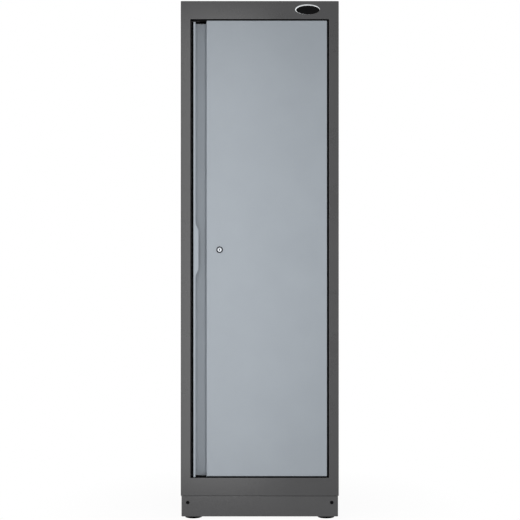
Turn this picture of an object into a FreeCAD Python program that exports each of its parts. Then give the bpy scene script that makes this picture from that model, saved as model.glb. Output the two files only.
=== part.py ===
import FreeCAD, Part
import math
import os

# A tall workshop cabinet with one hinged door, in millimetres.
# Its carcass, door, shelves and plinth are folded from sheet steel. The door hangs on a pin at its top
# and its bottom, is pulled by a tab on the lip of a full-height grip channel, and is locked by a key
# that drives a rod up into the header and another down into the sill.
# X runs to the right, Y to the back and Z up, with the origin on the floor below the middle.

V = FreeCAD.Vector
X = V(1, 0, 0)
Y = V(0, 1, 0)
Z = V(0, 0, 1)
ORIGIN = V(0, 0, 0)
FULL_TURN = 360.0
HEXAGON_SIDES = 6

# Planes that a section is drawn in: across, up, and the way that it is swept
PLAN = (X, Y, Z)
SIDE_SECTION = (Y, Z, X)
FRONT_SECTION = (X, Z, Y)

# How far a cutting solid reaches past the face it cuts, and how near two equal lengths are
cut_past = 1.0
same_length = 1e-3

# Overall sizes
cabinet_width = 610.0
cabinet_depth = 460.0
cabinet_height = 2000.0

# Face frame and plinth
foot_clearance = 10.0
plinth_height = 80.0
plinth_inset = 2.6
sill_height = 70.0
header_height = 70.0
stile_width = 38.0
stop_flange = 34.0
rail_return = 16.0
sill_foot = 25.0
top_rear_drop = 25.0
rear_flange = 25.0

# Sheets and their folds
carcass_sheet = 1.2
carcass_bend = 1.5
fold_lead = 2.0
back_sheet = 1.0
back_edge_room = 0.8
floor_drop = 25.0
floor_tab_gap = 0.8
door_sheet = 1.0
door_bend = 1.6
plinth_sheet = 1.5
plinth_bend = 1.5
shelf_sheet = 1.0
shelf_bend = 1.2

# Back panel's fixings
rivet_shank = 4.0
rivet_head = 8.5
rivet_crown = 4.2
rivet_rise = 2.0
rivet_bulb = 6.0
rivet_count = 7
rivet_end_gap = 40.0
wall_hole = 9.0
wall_hole_spacing = 400.0
wall_hole_drop = 110.0

# Door in its opening
door_recess = 1.0
gap_free_side = 10.0
gap_hinge_side = 6.0
gap_top_bottom = 5.0
door_depth = 22.0
door_return = 16.0

# Grip channel and its pull tab
grip_width = 52.0
grip_depth = 38.0
grip_lip = 8.3
grip_bend = 9.0
grip_floor_gap = 1.0
grip_wall_set_back = 3.0
tab_lip = 20.0
tab_length = 206.0
tab_straight = 155.0
tab_round = 5.0
tab_centre_height = 1036.0

# Door stiffener
stiffener_crown = 40.0
stiffener_flange = 15.0
stiffener_rise = 18.0
stiffener_end_gap = 25.0

# Door stops on the free side
bumper_gap = 6.0
touch_gap = 0.3
bumper_diameter = 10.0
bumper_round = 2.0
bumper_spacing = 700.0
catch_width = 12.0
catch_length = 46.0
catch_round = 1.5
catch_end_gap = 90.0

# Hinge pins and bushes
pivot_inset = 9.0
hinge_pin = 8.0
pin_clearance = 0.06
pin_reach = 11.0
pin_chamfer = 1.0
pin_shoulder_step = 2.5
pin_head_step = 2.0
pin_head_rise = 2.0
bush_wall = 1.44
bush_flange_step = 1.5
bush_flange_rise = 1.5
bush_reach = 12.0
thrust_gap = 0.1
hinge_plate_thickness = 3.0
hinge_plate_inner = 34.0
hinge_plate_gap = 1.5
hinge_plate_rear = 10.0

# Lock
lock_from_panel_edge = 50.0
lock_height = 1040.0
lock_barrel = 19.0
bezel_ring = 3.0
bezel_rise = 3.0
bezel_chamfer = 1.4
lock_face_set_back = 0.5
lock_plug_diameter = 13.0
plug_clearance = 0.06
keyway_width = 2.6
keyway_height = 8.0
keyway_depth = 14.0
lock_plate_size = 60.0
lock_plate_thickness = 2.0
lock_plate_corner = 6.0
lock_nut_wall = 2.5
lock_nut_thickness = 5.0
cam_gap = 0.5
cam_thickness = 3.0
cam_screw_gap = 0.6
cam_screw_cover = 0.5
cam_screw_rise = 3.0
cam_screw_edge = 0.8

# Crank that drives the rods: two pins, each half a quarter turn below and above its middle
crank_radius = 16.0
crank_half_turn = 45.0
crank_pin = 6.0
crank_pin_head = 9.0
crank_pin_head_rise = 1.5
cam_edge = 5.0
rod_stand_off = 4.0
rod_gap = 1.0
rod_thickness = 3.0
rod_edge = 2.5
rod_slot_clearance = 0.7
rod_tip_chamfer = 4.0
rod_tip_gap = 3.0
rod_head_corner = 3.0
guide_clearance = 0.3
guide_wall = 8.0
guide_back = 3.0
guide_length = 11.0
keeper_clearance = 1.5

# Shelves and what they hang on
shelf_drop = 25.0
shelf_front_gap = 7.0
shelf_rear_gap = 4.0
shelf_side_gap = 2.8
shelf_count = 4
strip_sheet = 1.0
strip_bend = 1.0
strip_crown = 20.0
strip_flange = 10.0
strip_rise = 10.0
strip_front_gap = 14.0
strip_rear_gap = 18.0
strip_end_gap = 10.0
slot_pitch = 50.0
slot_width = 16.0
slot_height = 5.0
slot_first_height = 40.0
clip_sheet = 2.0
clip_bend = 0.8
clip_width = 14.0
clip_leg = 12.0
clip_leg_gap = 1.0
clip_reach = 10.8
clip_upturn = 6.5

# Plinth and feet
plinth_return = 30.0
plinth_joint = 0.3
rail_flange = 25.0
plinth_screw_from_side = 27.0
plinth_screw_drop = 25.5
plinth_screw_shank = 6.0
plinth_screw_collar = 13.6
plinth_screw_collar_thickness = 1.2
plinth_screw_head = 10.5
plinth_screw_crown = 6.6
plinth_screw_edge = 0.5
plinth_screw_rise = 4.0
plinth_screw_socket = 4.0
plinth_screw_socket_depth = 2.2
plinth_screw_length = 12.0
bracket_sheet = 3.0
bracket_bend = 2.0
bracket_size = 84.0
bracket_top_gap = 6.5
bracket_height = 20.0
foot_inset = 47.0
foot_pad = 65.0
foot_pad_edge = 4.0
foot_pad_round = 0.8
foot_pad_neck = 24.0
foot_pad_gap = 1.0
foot_socket_step = 1.0
foot_socket_floor = 3.0
foot_socket_clearance = 0.08
stud_diameter = 10.0
stud_clearance = 0.06
stud_hole_clearance = 0.5
stud_top_gap = 8.2
stud_chamfer = 1.2
collar_gap = 0.2
nut_wall = 3.5
nut_thickness = 8.4

# Blank plate on the header
plate_length = 96.0
plate_width = 40.0
plate_rim = 3.0
plate_rise = 2.0
plate_field_rise = 1.2
plate_from_side = 121.0
plate_drop = 33.0

# Places that follow from the sizes
half_width = cabinet_width / 2
front = -cabinet_depth / 2
back = cabinet_depth / 2
inner_half = half_width - carcass_sheet
carcass_bottom = foot_clearance + plinth_height
opening_bottom = carcass_bottom + sill_height
opening_top = cabinet_height - header_height
opening_half = half_width - stile_width
carcass_outer_bend = carcass_bend + carcass_sheet
door_outer_bend = door_bend + door_sheet

door_front = front + door_recess
door_back = door_front + door_depth
door_left = -opening_half + gap_free_side
door_right = opening_half - gap_hinge_side
panel_left = door_left + grip_width
panel_bottom = opening_bottom + gap_top_bottom
panel_top = opening_top - gap_top_bottom
grip_rear = door_front + grip_depth + door_sheet
stop_front = grip_rear + bumper_gap
stop_rear = stop_front + carcass_sheet
grip_drop = gap_top_bottom - grip_floor_gap
grip_flat_left = door_left + door_sheet + grip_bend
stop_edge = -opening_half + stop_flange
stop_middle = (grip_flat_left + stop_edge) / 2

back_panel_rear = back - carcass_sheet
back_panel_front = back_panel_rear - back_sheet
back_panel_half = inner_half - carcass_bend - back_edge_room
back_panel_bottom = carcass_bottom + carcass_outer_bend
back_panel_top = cabinet_height - carcass_outer_bend
rivet_x = half_width - rear_flange / 2

pivot_x = door_right - pivot_inset
pivot_y = door_front + pivot_inset
bush_barrel = hinge_pin + 2 * (pin_clearance + bush_wall)
bush_flange = bush_barrel + 2 * bush_flange_step
pin_shoulder = hinge_pin + 2 * pin_shoulder_step
pin_head = hinge_pin + 2 * pin_head_step
hinge_plate_edge = pivot_inset - door_sheet - hinge_plate_gap

lock_x = panel_left + lock_from_panel_edge
bezel_front = door_front - bezel_rise
lock_face = bezel_front + lock_face_set_back
lock_bezel = lock_barrel + 2 * bezel_ring
lock_nut_flats = lock_barrel + 2 * lock_nut_wall
rod_front = door_back + rod_stand_off
rod_rear = rod_front + rod_thickness
cam_rear = rod_front - rod_gap
cam_front = cam_rear - cam_thickness
lock_body_length = cam_front - cam_gap - lock_face
crank_side = crank_radius * math.cos(math.radians(crank_half_turn))
crank_rise = crank_radius * math.sin(math.radians(crank_half_turn))
rod_travel = 2 * crank_rise
rod_slot_height = crank_pin + 2 * rod_slot_clearance
rod_slot_length = crank_radius - crank_side + rod_slot_height
rod_width = rod_slot_length + 2 * rod_edge
rod_offset = (crank_radius + crank_side) / 2
cam_screw_head = 2 * (rod_offset - rod_width / 2 - cam_screw_gap)
cam_boss = cam_screw_head - 2 * cam_screw_cover

strip_face = inner_half - strip_rise
strip_bottom = opening_bottom + strip_end_gap
strip_top = opening_top - strip_end_gap
strip_half = strip_crown / 2 + strip_flange
strip_front_y = stop_rear + strip_front_gap + strip_half
strip_rear_y = back_panel_front - strip_rear_gap - strip_half
slot_count = int((strip_top - strip_bottom - slot_first_height) // slot_pitch) + 1
slot_heights = [strip_bottom + slot_first_height + slot_pitch * step for step in range(slot_count)]
shelf_slots = [slot_count * number // (shelf_count + 1) - 1 for number in range(1, shelf_count + 1)]
shelf_half = strip_face - shelf_side_gap
shelf_front = stop_rear + shelf_front_gap
shelf_rear = back_panel_front - shelf_rear_gap

plinth_half = half_width - plinth_inset
plinth_front_y = front + plinth_inset
plinth_rear_y = back - plinth_inset
plinth_outer_bend = plinth_bend + plinth_sheet
rail_start = plinth_front_y + plinth_return + plinth_joint
bracket_top = bracket_height + bracket_sheet
bracket_rise = carcass_bottom - plinth_sheet - bracket_top_gap - bracket_height
foot_pad_height = foot_clearance - foot_pad_gap
foot_socket = stud_diameter + 2 * foot_socket_step
stud_hole = stud_diameter + 2 * stud_hole_clearance
nut_flats = stud_diameter + 2 * nut_wall
foot_x = half_width - foot_inset
foot_y = cabinet_depth / 2 - foot_inset
screw_x = half_width - plinth_screw_from_side
screw_z = carcass_bottom - plinth_screw_drop


# Shapes that several pieces share
def block(low, high):
    """A plain box between two corners."""
    size = high - low
    return Part.makeBox(size.x, size.y, size.z, low)


def rounded_block(low, high, radius, open_side=None):
    """A box with rounded edges, square where it lies on its open side."""
    solid = block(low, high)
    if open_side is None:
        return solid.makeFillet(radius, solid.Edges)
    reach = max(vertex.Point.dot(open_side) for vertex in solid.Vertexes)
    edges = [edge for edge in solid.Edges if edge.CenterOfMass.dot(open_side) < reach - radius]
    return solid.makeFillet(radius, edges)


def sheet_pan(low, high, open_side, sheet, bend):
    """A tray folded from one sheet, hollow behind its open side."""
    wall = V(sheet, sheet, sheet)
    past = open_side * (2 * sheet)
    inner_low = low + wall + V(min(past.x, 0), min(past.y, 0), min(past.z, 0))
    inner_high = high - wall + V(max(past.x, 0), max(past.y, 0), max(past.z, 0))
    outer = rounded_block(low, high, bend + sheet, open_side)
    return outer.cut(rounded_block(inner_low, inner_high, bend, open_side))


def folded_sheet(corners, sheet, bends, plane, low, high):
    """A sheet folded at its corners and swept from low to high along its folds.

    The corners lie on one face of the sheet, and the sheet is thick to the left of their line.
    bends holds the inside radius of each fold.
    """
    across, up, sweep = plane
    flat = [V(u, v, 0) for u, v in corners]
    runs = [(end - start).normalize() for start, end in zip(flat, flat[1:])]
    lefts = [V(-run.y, run.x, 0) for run in runs]
    near = [[flat[0]]]
    far = [[flat[0] + lefts[0] * sheet]]
    for index, bend in enumerate(bends):
        corner = flat[index + 1]
        before, after = runs[index], runs[index + 1]
        turn = math.atan2(before.cross(after).z, before.dot(after))
        radius = bend + sheet if turn > 0 else bend
        setback = radius * math.tan(abs(turn) / 2)
        enter = corner - before * setback
        leave = corner + after * setback
        centre = enter + lefts[index] * math.copysign(radius, turn)
        outward = (corner - centre).normalize()
        far_radius = radius - math.copysign(sheet, turn)
        near += [[enter], [centre + outward * radius, leave]]
        far += [[enter + lefts[index] * sheet]]
        far += [[centre + outward * far_radius, leave + lefts[index + 1] * sheet]]
    near.append([flat[-1]])
    far.append([flat[-1] + lefts[-1] * sheet])

    def solid_point(point):
        return across * point.x + up * point.y + sweep * low

    def face_edges(steps):
        edges = []
        here = steps[0][0]
        for step in steps[1:]:
            points = [solid_point(point) for point in [here] + step]
            curve = Part.LineSegment(*points) if len(points) == 2 else Part.Arc(*points)
            edges.append(curve.toShape())
            here = step[-1]
        return edges

    start_cap = Part.LineSegment(solid_point(far[0][0]), solid_point(near[0][0])).toShape()
    end_cap = Part.LineSegment(solid_point(near[-1][0]), solid_point(far[-1][0])).toShape()
    outline = face_edges(near) + [end_cap] + face_edges(far)[::-1] + [start_cap]
    return Part.Face(Part.Wire(outline)).extrude(sweep * (high - low))


def turned(profile, base, axis):
    """A solid of revolution about an axis square to X, from a closed profile of (radius, height)."""
    points = [base + X * radius + axis * height for radius, height in profile]
    face = Part.Face(Part.makePolygon(points + points[:1]))
    return face.revolve(base, axis, FULL_TURN)


def rod_along(base, axis, diameter, length):
    """A plain round bar or the tool for a drilled hole."""
    return Part.makeCylinder(diameter / 2, length, base, axis)


def hexagon(base, axis, flats, height):
    """A hexagonal bar about an axis square to X, of a given width across its flats."""
    other = axis.cross(X)
    step = math.radians(FULL_TURN / HEXAGON_SIDES)
    corner = flats / 2 / math.cos(step / 2)
    angles = [step * number for number in range(HEXAGON_SIDES)]
    points = [base + X * (corner * math.cos(a)) + other * (corner * math.sin(a)) for a in angles]
    return Part.Face(Part.makePolygon(points + points[:1])).extrude(axis * height)


def obround(centre, length, width, near_y, far_y, along=X):
    """A bar with round ends, seen from the front, between two depths."""
    across = Z if along == X else X
    straight = along * ((length - width) / 2)
    lift = across * (width / 2)
    tip = along * (length / 2)
    middle = V(centre.x, near_y, centre.z)
    corners = [middle - straight - lift, middle + straight - lift]
    corners += [middle + straight + lift, middle - straight + lift]
    edges = [
        Part.LineSegment(corners[0], corners[1]),
        Part.Arc(corners[1], middle + tip, corners[2]),
        Part.LineSegment(corners[2], corners[3]),
        Part.Arc(corners[3], middle - tip, corners[0]),
    ]
    outline = Part.Wire([edge.toShape() for edge in edges])
    return Part.Face(outline).extrude(Y * (far_y - near_y))


def mirrored(solid, normal):
    """The other-handed copy of a solid across a plane through the origin."""
    return solid.mirror(ORIGIN, normal)


def in_all_corners(solid):
    """The front left piece, and its copies at the other three corners."""
    right = mirrored(solid, X)
    return [solid, right, mirrored(solid, Y), mirrored(right, Y)]


# Carcass
def rivet_points():
    """Where the back panel is riveted to the rear flange of each side."""
    low = opening_bottom + rivet_end_gap
    step = (back_panel_top - rivet_end_gap - low) / (rivet_count - 1)
    return [V(side * rivet_x, back, low + step * n) for side in (-1, 1) for n in range(rivet_count)]


def drilled_for_rivets(solid):
    """A panel with the holes of the rivets that pass through it."""
    drill = 2 * (carcass_sheet + back_sheet)
    holes = [rod_along(point - Y * (drill / 2), Y, rivet_shank, drill) for point in rivet_points()]
    return solid.cut(holes)


def left_side_panel():
    """Side wall with top, bottom and rear flanges, and its stile folded into jamb and door stop."""
    pan = sheet_pan(
        V(-half_width, front, carcass_bottom),
        V(-opening_half, back, cabinet_height),
        X,
        carcass_sheet,
        carcass_bend,
    )
    rear_trim = block(
        V(-half_width + rear_flange, back - carcass_outer_bend, carcass_bottom - cut_past),
        V(-opening_half + cut_past, back + cut_past, cabinet_height + cut_past),
    )
    fold_start = -opening_half - carcass_outer_bend - fold_lead
    stile_notch = block(
        V(fold_start, front - cut_past, opening_bottom),
        V(-opening_half + cut_past, front + carcass_outer_bend, opening_top),
    )
    jamb_line = [
        (fold_start, front),
        (-opening_half, front),
        (-opening_half, stop_front),
        (stop_edge, stop_front),
    ]
    folds = [carcass_bend, carcass_bend]
    jamb = folded_sheet(jamb_line, carcass_sheet, folds, PLAN, opening_bottom, opening_top)
    panel = pan.cut([rear_trim, stile_notch]).fuse(jamb).removeSplitter()
    return drilled_for_rivets(panel)


def keeper_slot(side, middle_z):
    """The tool for the slot in the frame that a lock rod enters."""
    half = rod_width / 2 + keeper_clearance
    x = lock_x + side * rod_offset
    low = V(x - half, rod_front - keeper_clearance, middle_z - rail_return / 2)
    high = V(x + half, rod_rear + keeper_clearance, middle_z + rail_return / 2)
    return block(low, high)


def pin_hole(middle_z):
    """The tool for the hole in the frame that a hinge pin is fixed in."""
    return rod_along(V(pivot_x, pivot_y, middle_z - rail_return / 2), Z, hinge_pin, rail_return)


def top_panel():
    """Roof, header and the header's door jamb, folded from one sheet."""
    line = [
        (back, cabinet_height - top_rear_drop),
        (back, cabinet_height),
        (front, cabinet_height),
        (front, opening_top),
        (stop_front, opening_top),
        (stop_front, opening_top + rail_return),
    ]
    folds = [carcass_bend] * (len(line) - 2)
    sheet = folded_sheet(line, carcass_sheet, folds, SIDE_SECTION, -opening_half, opening_half)
    return sheet.cut([keeper_slot(-1, opening_top), pin_hole(opening_top)])


def sill_rail():
    """The rail below the door, with its jamb and its foot on the plinth."""
    line = [
        (stop_front, opening_bottom - rail_return),
        (stop_front, opening_bottom),
        (front, opening_bottom),
        (front, carcass_bottom),
        (front + sill_foot, carcass_bottom),
    ]
    folds = [carcass_bend] * (len(line) - 2)
    sheet = folded_sheet(line, carcass_sheet, folds, SIDE_SECTION, -opening_half, opening_half)
    return sheet.cut([keeper_slot(1, opening_bottom), pin_hole(opening_bottom)])


def floor_panel():
    """The cabinet's floor, level with the sill, with a tab that closes the foot of each hollow stile."""
    pan = sheet_pan(
        V(-inner_half, stop_front, opening_bottom - floor_drop),
        V(inner_half, back_panel_front, opening_bottom),
        -Z,
        carcass_sheet,
        carcass_bend,
    )
    tab_front = front + carcass_sheet + floor_tab_gap
    left_tab = block(
        V(-inner_half + floor_tab_gap, tab_front, opening_bottom - carcass_sheet),
        V(-opening_half - floor_tab_gap, stop_front + carcass_outer_bend, opening_bottom),
    )
    return pan.fuse([left_tab, mirrored(left_tab, X)]).removeSplitter()


def back_panel():
    """Flat back sheet inside the rear flanges, with two holes for fixing to a wall."""
    sheet = block(
        V(-back_panel_half, back_panel_front, back_panel_bottom),
        V(back_panel_half, back_panel_rear, back_panel_top),
    )
    hole_z = cabinet_height - wall_hole_drop
    hole_y = back_panel_front - cut_past
    places = [V(side * wall_hole_spacing / 2, hole_y, hole_z) for side in (-1, 1)]
    wall_holes = [rod_along(place, Y, wall_hole, back_sheet + 2 * cut_past) for place in places]
    return drilled_for_rivets(sheet.cut(wall_holes))


def back_panel_rivets():
    """Blind rivets: a low head outside, and the bulb that its pull leaves inside."""
    grip = carcass_sheet + back_sheet
    profile = [
        (0, rivet_rise),
        (rivet_crown / 2, rivet_rise),
        (rivet_head / 2, 0),
        (rivet_shank / 2, 0),
        (rivet_shank / 2, -grip),
        (rivet_bulb / 2, -grip),
        (rivet_bulb / 2, -grip - rivet_rise),
        (0, -grip - rivet_rise),
    ]
    return Part.makeCompound([turned(profile, point, Y) for point in rivet_points()])


def header_plate_bar(length, width, rise):
    """An oval bar that stands on the header where its plate is."""
    centre = V(half_width - plate_from_side, front, cabinet_height - plate_drop)
    oval = Part.Ellipse(centre + X * (length / 2), centre + Z * (width / 2), centre)
    return Part.Face(Part.Wire(oval.toShape())).extrude(-Y * rise)


def header_plate_rim():
    """The raised bright rim of the header's plate."""
    inside = header_plate_bar(plate_length - 2 * plate_rim, plate_width - 2 * plate_rim, plate_rise)
    return header_plate_bar(plate_length, plate_width, plate_rise).cut(inside)


def header_plate():
    """The plate's blank field inside its rim."""
    return header_plate_bar(plate_length - 2 * plate_rim, plate_width - 2 * plate_rim, plate_field_rise)


# Shelves and what they hang on
def left_shelf_strip(middle_y):
    """A strip of hat section on the left wall, with a slot at every step of the pitch."""
    crown = strip_crown / 2
    line = [
        (-inner_half, middle_y + strip_half),
        (-inner_half, middle_y + crown),
        (-strip_face - strip_sheet, middle_y + crown),
        (-strip_face - strip_sheet, middle_y - crown),
        (-inner_half, middle_y - crown),
        (-inner_half, middle_y - strip_half),
    ]
    folds = [strip_bend] * (len(line) - 2)
    strip = folded_sheet(line, strip_sheet, folds, PLAN, strip_bottom, strip_top)
    cut = V(2 * strip_sheet, slot_width / 2, slot_height / 2)
    centres = [V(-strip_face, middle_y, height) for height in slot_heights]
    return strip.cut([block(centre - cut, centre + cut) for centre in centres])


def clip_seat(slot):
    """The height at which a clip in this slot carries a shelf."""
    return slot_heights[slot] - slot_height / 2 + clip_sheet


def shelf(slot):
    """A folded shelf that rests on the clips in one row of slots."""
    seat = clip_seat(slot)
    return sheet_pan(
        V(-shelf_half, shelf_front, seat),
        V(shelf_half, shelf_rear, seat + shelf_drop),
        -Z,
        shelf_sheet,
        shelf_bend,
    )


def left_clip(middle_y, slot):
    """A clip that hooks up behind a slot of a left strip, and turns up inside the shelf's edge."""
    underside = clip_seat(slot) - clip_sheet
    leg_x = -strip_face - strip_sheet - clip_leg_gap - clip_sheet
    tip_x = -strip_face + clip_reach
    line = [
        (leg_x, underside + clip_leg),
        (leg_x, underside),
        (tip_x, underside),
        (tip_x, underside + clip_upturn),
    ]
    half = clip_width / 2
    folds = [clip_bend, clip_bend]
    return folded_sheet(line, clip_sheet, folds, FRONT_SECTION, middle_y - half, middle_y + half)


def shelf_clips():
    """Four clips for each shelf."""
    left = [left_clip(y, slot) for slot in shelf_slots for y in (strip_front_y, strip_rear_y)]
    return Part.makeCompound(left + [mirrored(clip, X) for clip in left])


# Door stops
def magnet_catches():
    """Magnet catches near the top and the bottom of the door stop."""
    half = catch_width / 2
    lows = [opening_bottom + catch_end_gap, opening_top - catch_end_gap - catch_length]
    solids = []
    for low in lows:
        corner = V(stop_middle - half, grip_rear + touch_gap, low)
        far_corner = V(stop_middle + half, stop_front, low + catch_length)
        solids.append(rounded_block(corner, far_corner, catch_round, Y))
    return Part.makeCompound(solids)


def door_bumpers():
    """Rubber buttons on the door stop."""
    rise = bumper_gap - touch_gap
    radius = bumper_diameter / 2
    profile = [(0, 0), (radius, 0), (radius, rise - bumper_round)]
    profile += [(radius - bumper_round, rise), (0, rise)]
    middle = (opening_bottom + opening_top) / 2
    heights = [middle - bumper_spacing / 2, middle + bumper_spacing / 2]
    return Part.makeCompound([turned(profile, V(stop_middle, stop_front, z), -Y) for z in heights])


# Hinge: the frame side is measured from the rail's face, towards the door
def hinge_pin_solid(face_z, axis):
    """A shouldered pin, riveted through the rail and its backing plate."""
    behind = carcass_sheet + hinge_plate_thickness
    shoulder = gap_top_bottom - bush_flange_rise - thrust_gap
    tip = gap_top_bottom + pin_reach
    radius = hinge_pin / 2
    profile = [
        (0, -behind - pin_head_rise),
        (pin_head / 2, -behind - pin_head_rise),
        (pin_head / 2, -behind),
        (radius, -behind),
        (radius, 0),
        (pin_shoulder / 2, 0),
        (pin_shoulder / 2, shoulder),
        (radius, shoulder),
        (radius, tip - pin_chamfer),
        (radius - pin_chamfer, tip),
        (0, tip),
    ]
    return turned(profile, V(pivot_x, pivot_y, face_z), axis)


def hinge_bush(edge_z, axis):
    """A flanged bush in the door's edge, which carries the door on the pin's shoulder."""
    bore = hinge_pin / 2 + pin_clearance
    profile = [
        (bore, -bush_flange_rise),
        (bush_flange / 2, -bush_flange_rise),
        (bush_flange / 2, 0),
        (bush_barrel / 2, 0),
        (bush_barrel / 2, bush_reach),
        (bore, bush_reach),
    ]
    return turned(profile, V(pivot_x, pivot_y, edge_z), axis)


def hinge_plate(face_z, hole):
    """A backing plate round the pivot, from face_z upwards."""
    low = V(pivot_x - hinge_plate_inner, pivot_y - hinge_plate_edge, face_z)
    high_y = pivot_y + hinge_plate_rear
    high = V(pivot_x + hinge_plate_edge, high_y, face_z + hinge_plate_thickness)
    start = V(pivot_x, pivot_y, face_z - cut_past)
    return block(low, high).cut(rod_along(start, Z, hole, hinge_plate_thickness + 2 * cut_past))


# Door
def lock_axis(y):
    """A point on the lock's axis at a given depth."""
    return V(lock_x, y, lock_height)


def door_panel():
    """A pan with edges folded back and in, open behind, drilled for the lock and the hinge bushes."""
    low = V(panel_left, door_front, panel_bottom)
    high = V(door_right, door_back, panel_top)
    wall = V(door_sheet, door_sheet, door_sheet)
    shell = rounded_block(low, high, door_outer_bend)
    cavity = rounded_block(low + wall, high - wall, door_bend)
    rim = V(door_return, 0, door_return)
    opening = block(V(low.x, door_back - door_outer_bend, low.z) + rim, high - rim + Y * cut_past)
    lock_hole = rod_along(lock_axis(door_front - cut_past), Y, lock_barrel, door_sheet + 2 * cut_past)
    tall = panel_top - panel_bottom
    bush_holes = rod_along(V(pivot_x, pivot_y, panel_bottom), Z, bush_barrel, tall)
    return shell.cut([cavity, opening, lock_hole, bush_holes])


def tab_outline():
    """The pull tab's prism: a trapezium on the lip, rounded at its two outer corners."""
    root_x = door_left + grip_lip
    tip_x = door_left + tab_lip
    near_y = door_front - cut_past
    thickness = door_sheet + 2 * cut_past
    points = [
        V(root_x, near_y, tab_centre_height - tab_length / 2),
        V(tip_x, near_y, tab_centre_height - tab_straight / 2),
        V(tip_x, near_y, tab_centre_height + tab_straight / 2),
        V(root_x, near_y, tab_centre_height + tab_length / 2),
    ]
    prism = Part.Face(Part.makePolygon(points + points[:1])).extrude(Y * thickness)
    upright = [edge for edge in prism.Edges if abs(edge.Length - thickness) < same_length]
    outer = [edge for edge in upright if edge.CenterOfMass.x > root_x + same_length]
    return prism.makeFillet(tab_round, outer)


def grip_channel():
    """A finger channel folded from one sheet, with a lip that widens into the pull tab."""
    lip_rear = door_front + door_sheet
    wall_left = door_left + door_sheet
    floor_front = door_front + grip_depth
    wall_right = panel_left - door_sheet
    line = [
        (door_left + tab_lip, lip_rear),
        (wall_left, lip_rear),
        (wall_left, floor_front),
        (wall_right, floor_front),
        (wall_right, door_front + grip_wall_set_back),
    ]
    folds = [door_bend, grip_bend, grip_bend]
    bottom = panel_bottom - grip_drop
    top = panel_top - grip_drop
    channel = folded_sheet(line, door_sheet, folds, PLAN, bottom, top)
    spare_lip = block(
        V(door_left + grip_lip, door_front - cut_past, bottom - cut_past),
        V(door_left + tab_lip + cut_past, lip_rear + door_sheet / 2, top + cut_past),
    )
    return channel.cut(spare_lip.cut(tab_outline()))


def door_stiffener():
    """A hat-section post welded up the middle of the door's inner face."""
    middle = (panel_left + door_right) / 2
    skin = door_front + door_sheet
    crown = stiffener_crown / 2
    edge = crown + stiffener_flange
    line = [
        (middle - edge, skin),
        (middle - crown, skin),
        (middle - crown, skin + stiffener_rise),
        (middle + crown, skin + stiffener_rise),
        (middle + crown, skin),
        (middle + edge, skin),
    ]
    folds = [door_bend] * (len(line) - 2)
    low = panel_bottom + stiffener_end_gap
    return folded_sheet(line, door_sheet, folds, PLAN, low, panel_top - stiffener_end_gap)


# Lock
def lock_plate():
    """The reinforcing plate behind the door's skin, round the lock."""
    skin = door_front + door_sheet
    half = V(lock_plate_size / 2, 0, lock_plate_size / 2)
    plate = block(lock_axis(skin) - half, lock_axis(skin + lock_plate_thickness) + half)
    corners = [edge for edge in plate.Edges if abs(edge.Length - lock_plate_thickness) < same_length]
    plate = plate.makeFillet(lock_plate_corner, corners)
    hole_length = lock_plate_thickness + 2 * cut_past
    return plate.cut(rod_along(lock_axis(skin - cut_past), Y, lock_barrel, hole_length))


def lock_bezel_ring():
    """The bevelled ring round the lock's face."""
    outer = lock_bezel / 2
    profile = [
        (lock_barrel / 2, 0),
        (outer - bezel_chamfer, 0),
        (outer, bezel_chamfer),
        (outer, bezel_rise),
        (lock_barrel / 2, bezel_rise),
    ]
    return turned(profile, lock_axis(bezel_front), Y)


def lock_body():
    """The lock's barrel, bored for the plug."""
    bore = lock_plug_diameter / 2 + plug_clearance
    outer = lock_barrel / 2
    profile = [(bore, 0), (outer, 0), (outer, lock_body_length), (bore, lock_body_length)]
    return turned(profile, lock_axis(lock_face), Y)


def lock_nut():
    """The nut that holds the lock's barrel against the plate."""
    seat = door_front + door_sheet + lock_plate_thickness
    nut = hexagon(lock_axis(seat), Y, lock_nut_flats, lock_nut_thickness)
    hole_length = lock_nut_thickness + 2 * cut_past
    return nut.cut(rod_along(lock_axis(seat - cut_past), Y, lock_barrel, hole_length))


def lock_plug():
    """The part that turns with the key, with its keyway and the boss that carries the cam."""
    radius = lock_plug_diameter / 2
    length = cam_front - lock_face
    profile = [(0, 0), (radius, 0), (radius, length), (cam_boss / 2, length)]
    profile += [(cam_boss / 2, length + cam_thickness), (0, length + cam_thickness)]
    plug = turned(profile, lock_axis(lock_face), Y)
    keyway_floor = lock_face + keyway_depth
    start = lock_face - cut_past
    return plug.cut(obround(lock_axis(0), keyway_height, keyway_width, start, keyway_floor, Z))


def crank_place(side):
    """Where a crank pin's axis is at rest: below the lock's axis on the left, above it on the right."""
    return V(lock_x + side * crank_side, 0, lock_height + side * crank_rise)


def lock_cam():
    """A bar across the plug with a headed pin at each end, which drive the two rods."""
    reach = crank_radius + cam_edge
    bar = obround(lock_axis(0), 2 * reach, 2 * cam_edge, cam_front, cam_rear)
    bar = bar.fuse(rod_along(lock_axis(cam_front), Y, cam_boss + 2 * cam_edge, cam_thickness))
    bar.rotate(lock_axis(0), Y, -crank_half_turn)
    bar = bar.cut(rod_along(lock_axis(cam_front - cut_past), Y, cam_boss, cam_thickness + 2 * cut_past))
    head_start = rod_gap + rod_thickness + rod_gap / 2
    profile = [
        (0, 0),
        (crank_pin / 2, 0),
        (crank_pin / 2, head_start),
        (crank_pin_head / 2, head_start),
        (crank_pin_head / 2, head_start + crank_pin_head_rise),
        (0, head_start + crank_pin_head_rise),
    ]
    pins = [turned(profile, crank_place(side) + Y * cam_rear, Y) for side in (-1, 1)]
    return bar.fuse(pins).removeSplitter()


def lock_cam_screw():
    """The screw that holds the cam on the plug's boss."""
    radius = cam_screw_head / 2
    profile = [(0, 0), (radius, 0), (radius, cam_screw_rise - cam_screw_edge)]
    profile += [(radius - cam_screw_edge, cam_screw_rise), (0, cam_screw_rise)]
    return turned(profile, lock_axis(cam_rear), Y)


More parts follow.
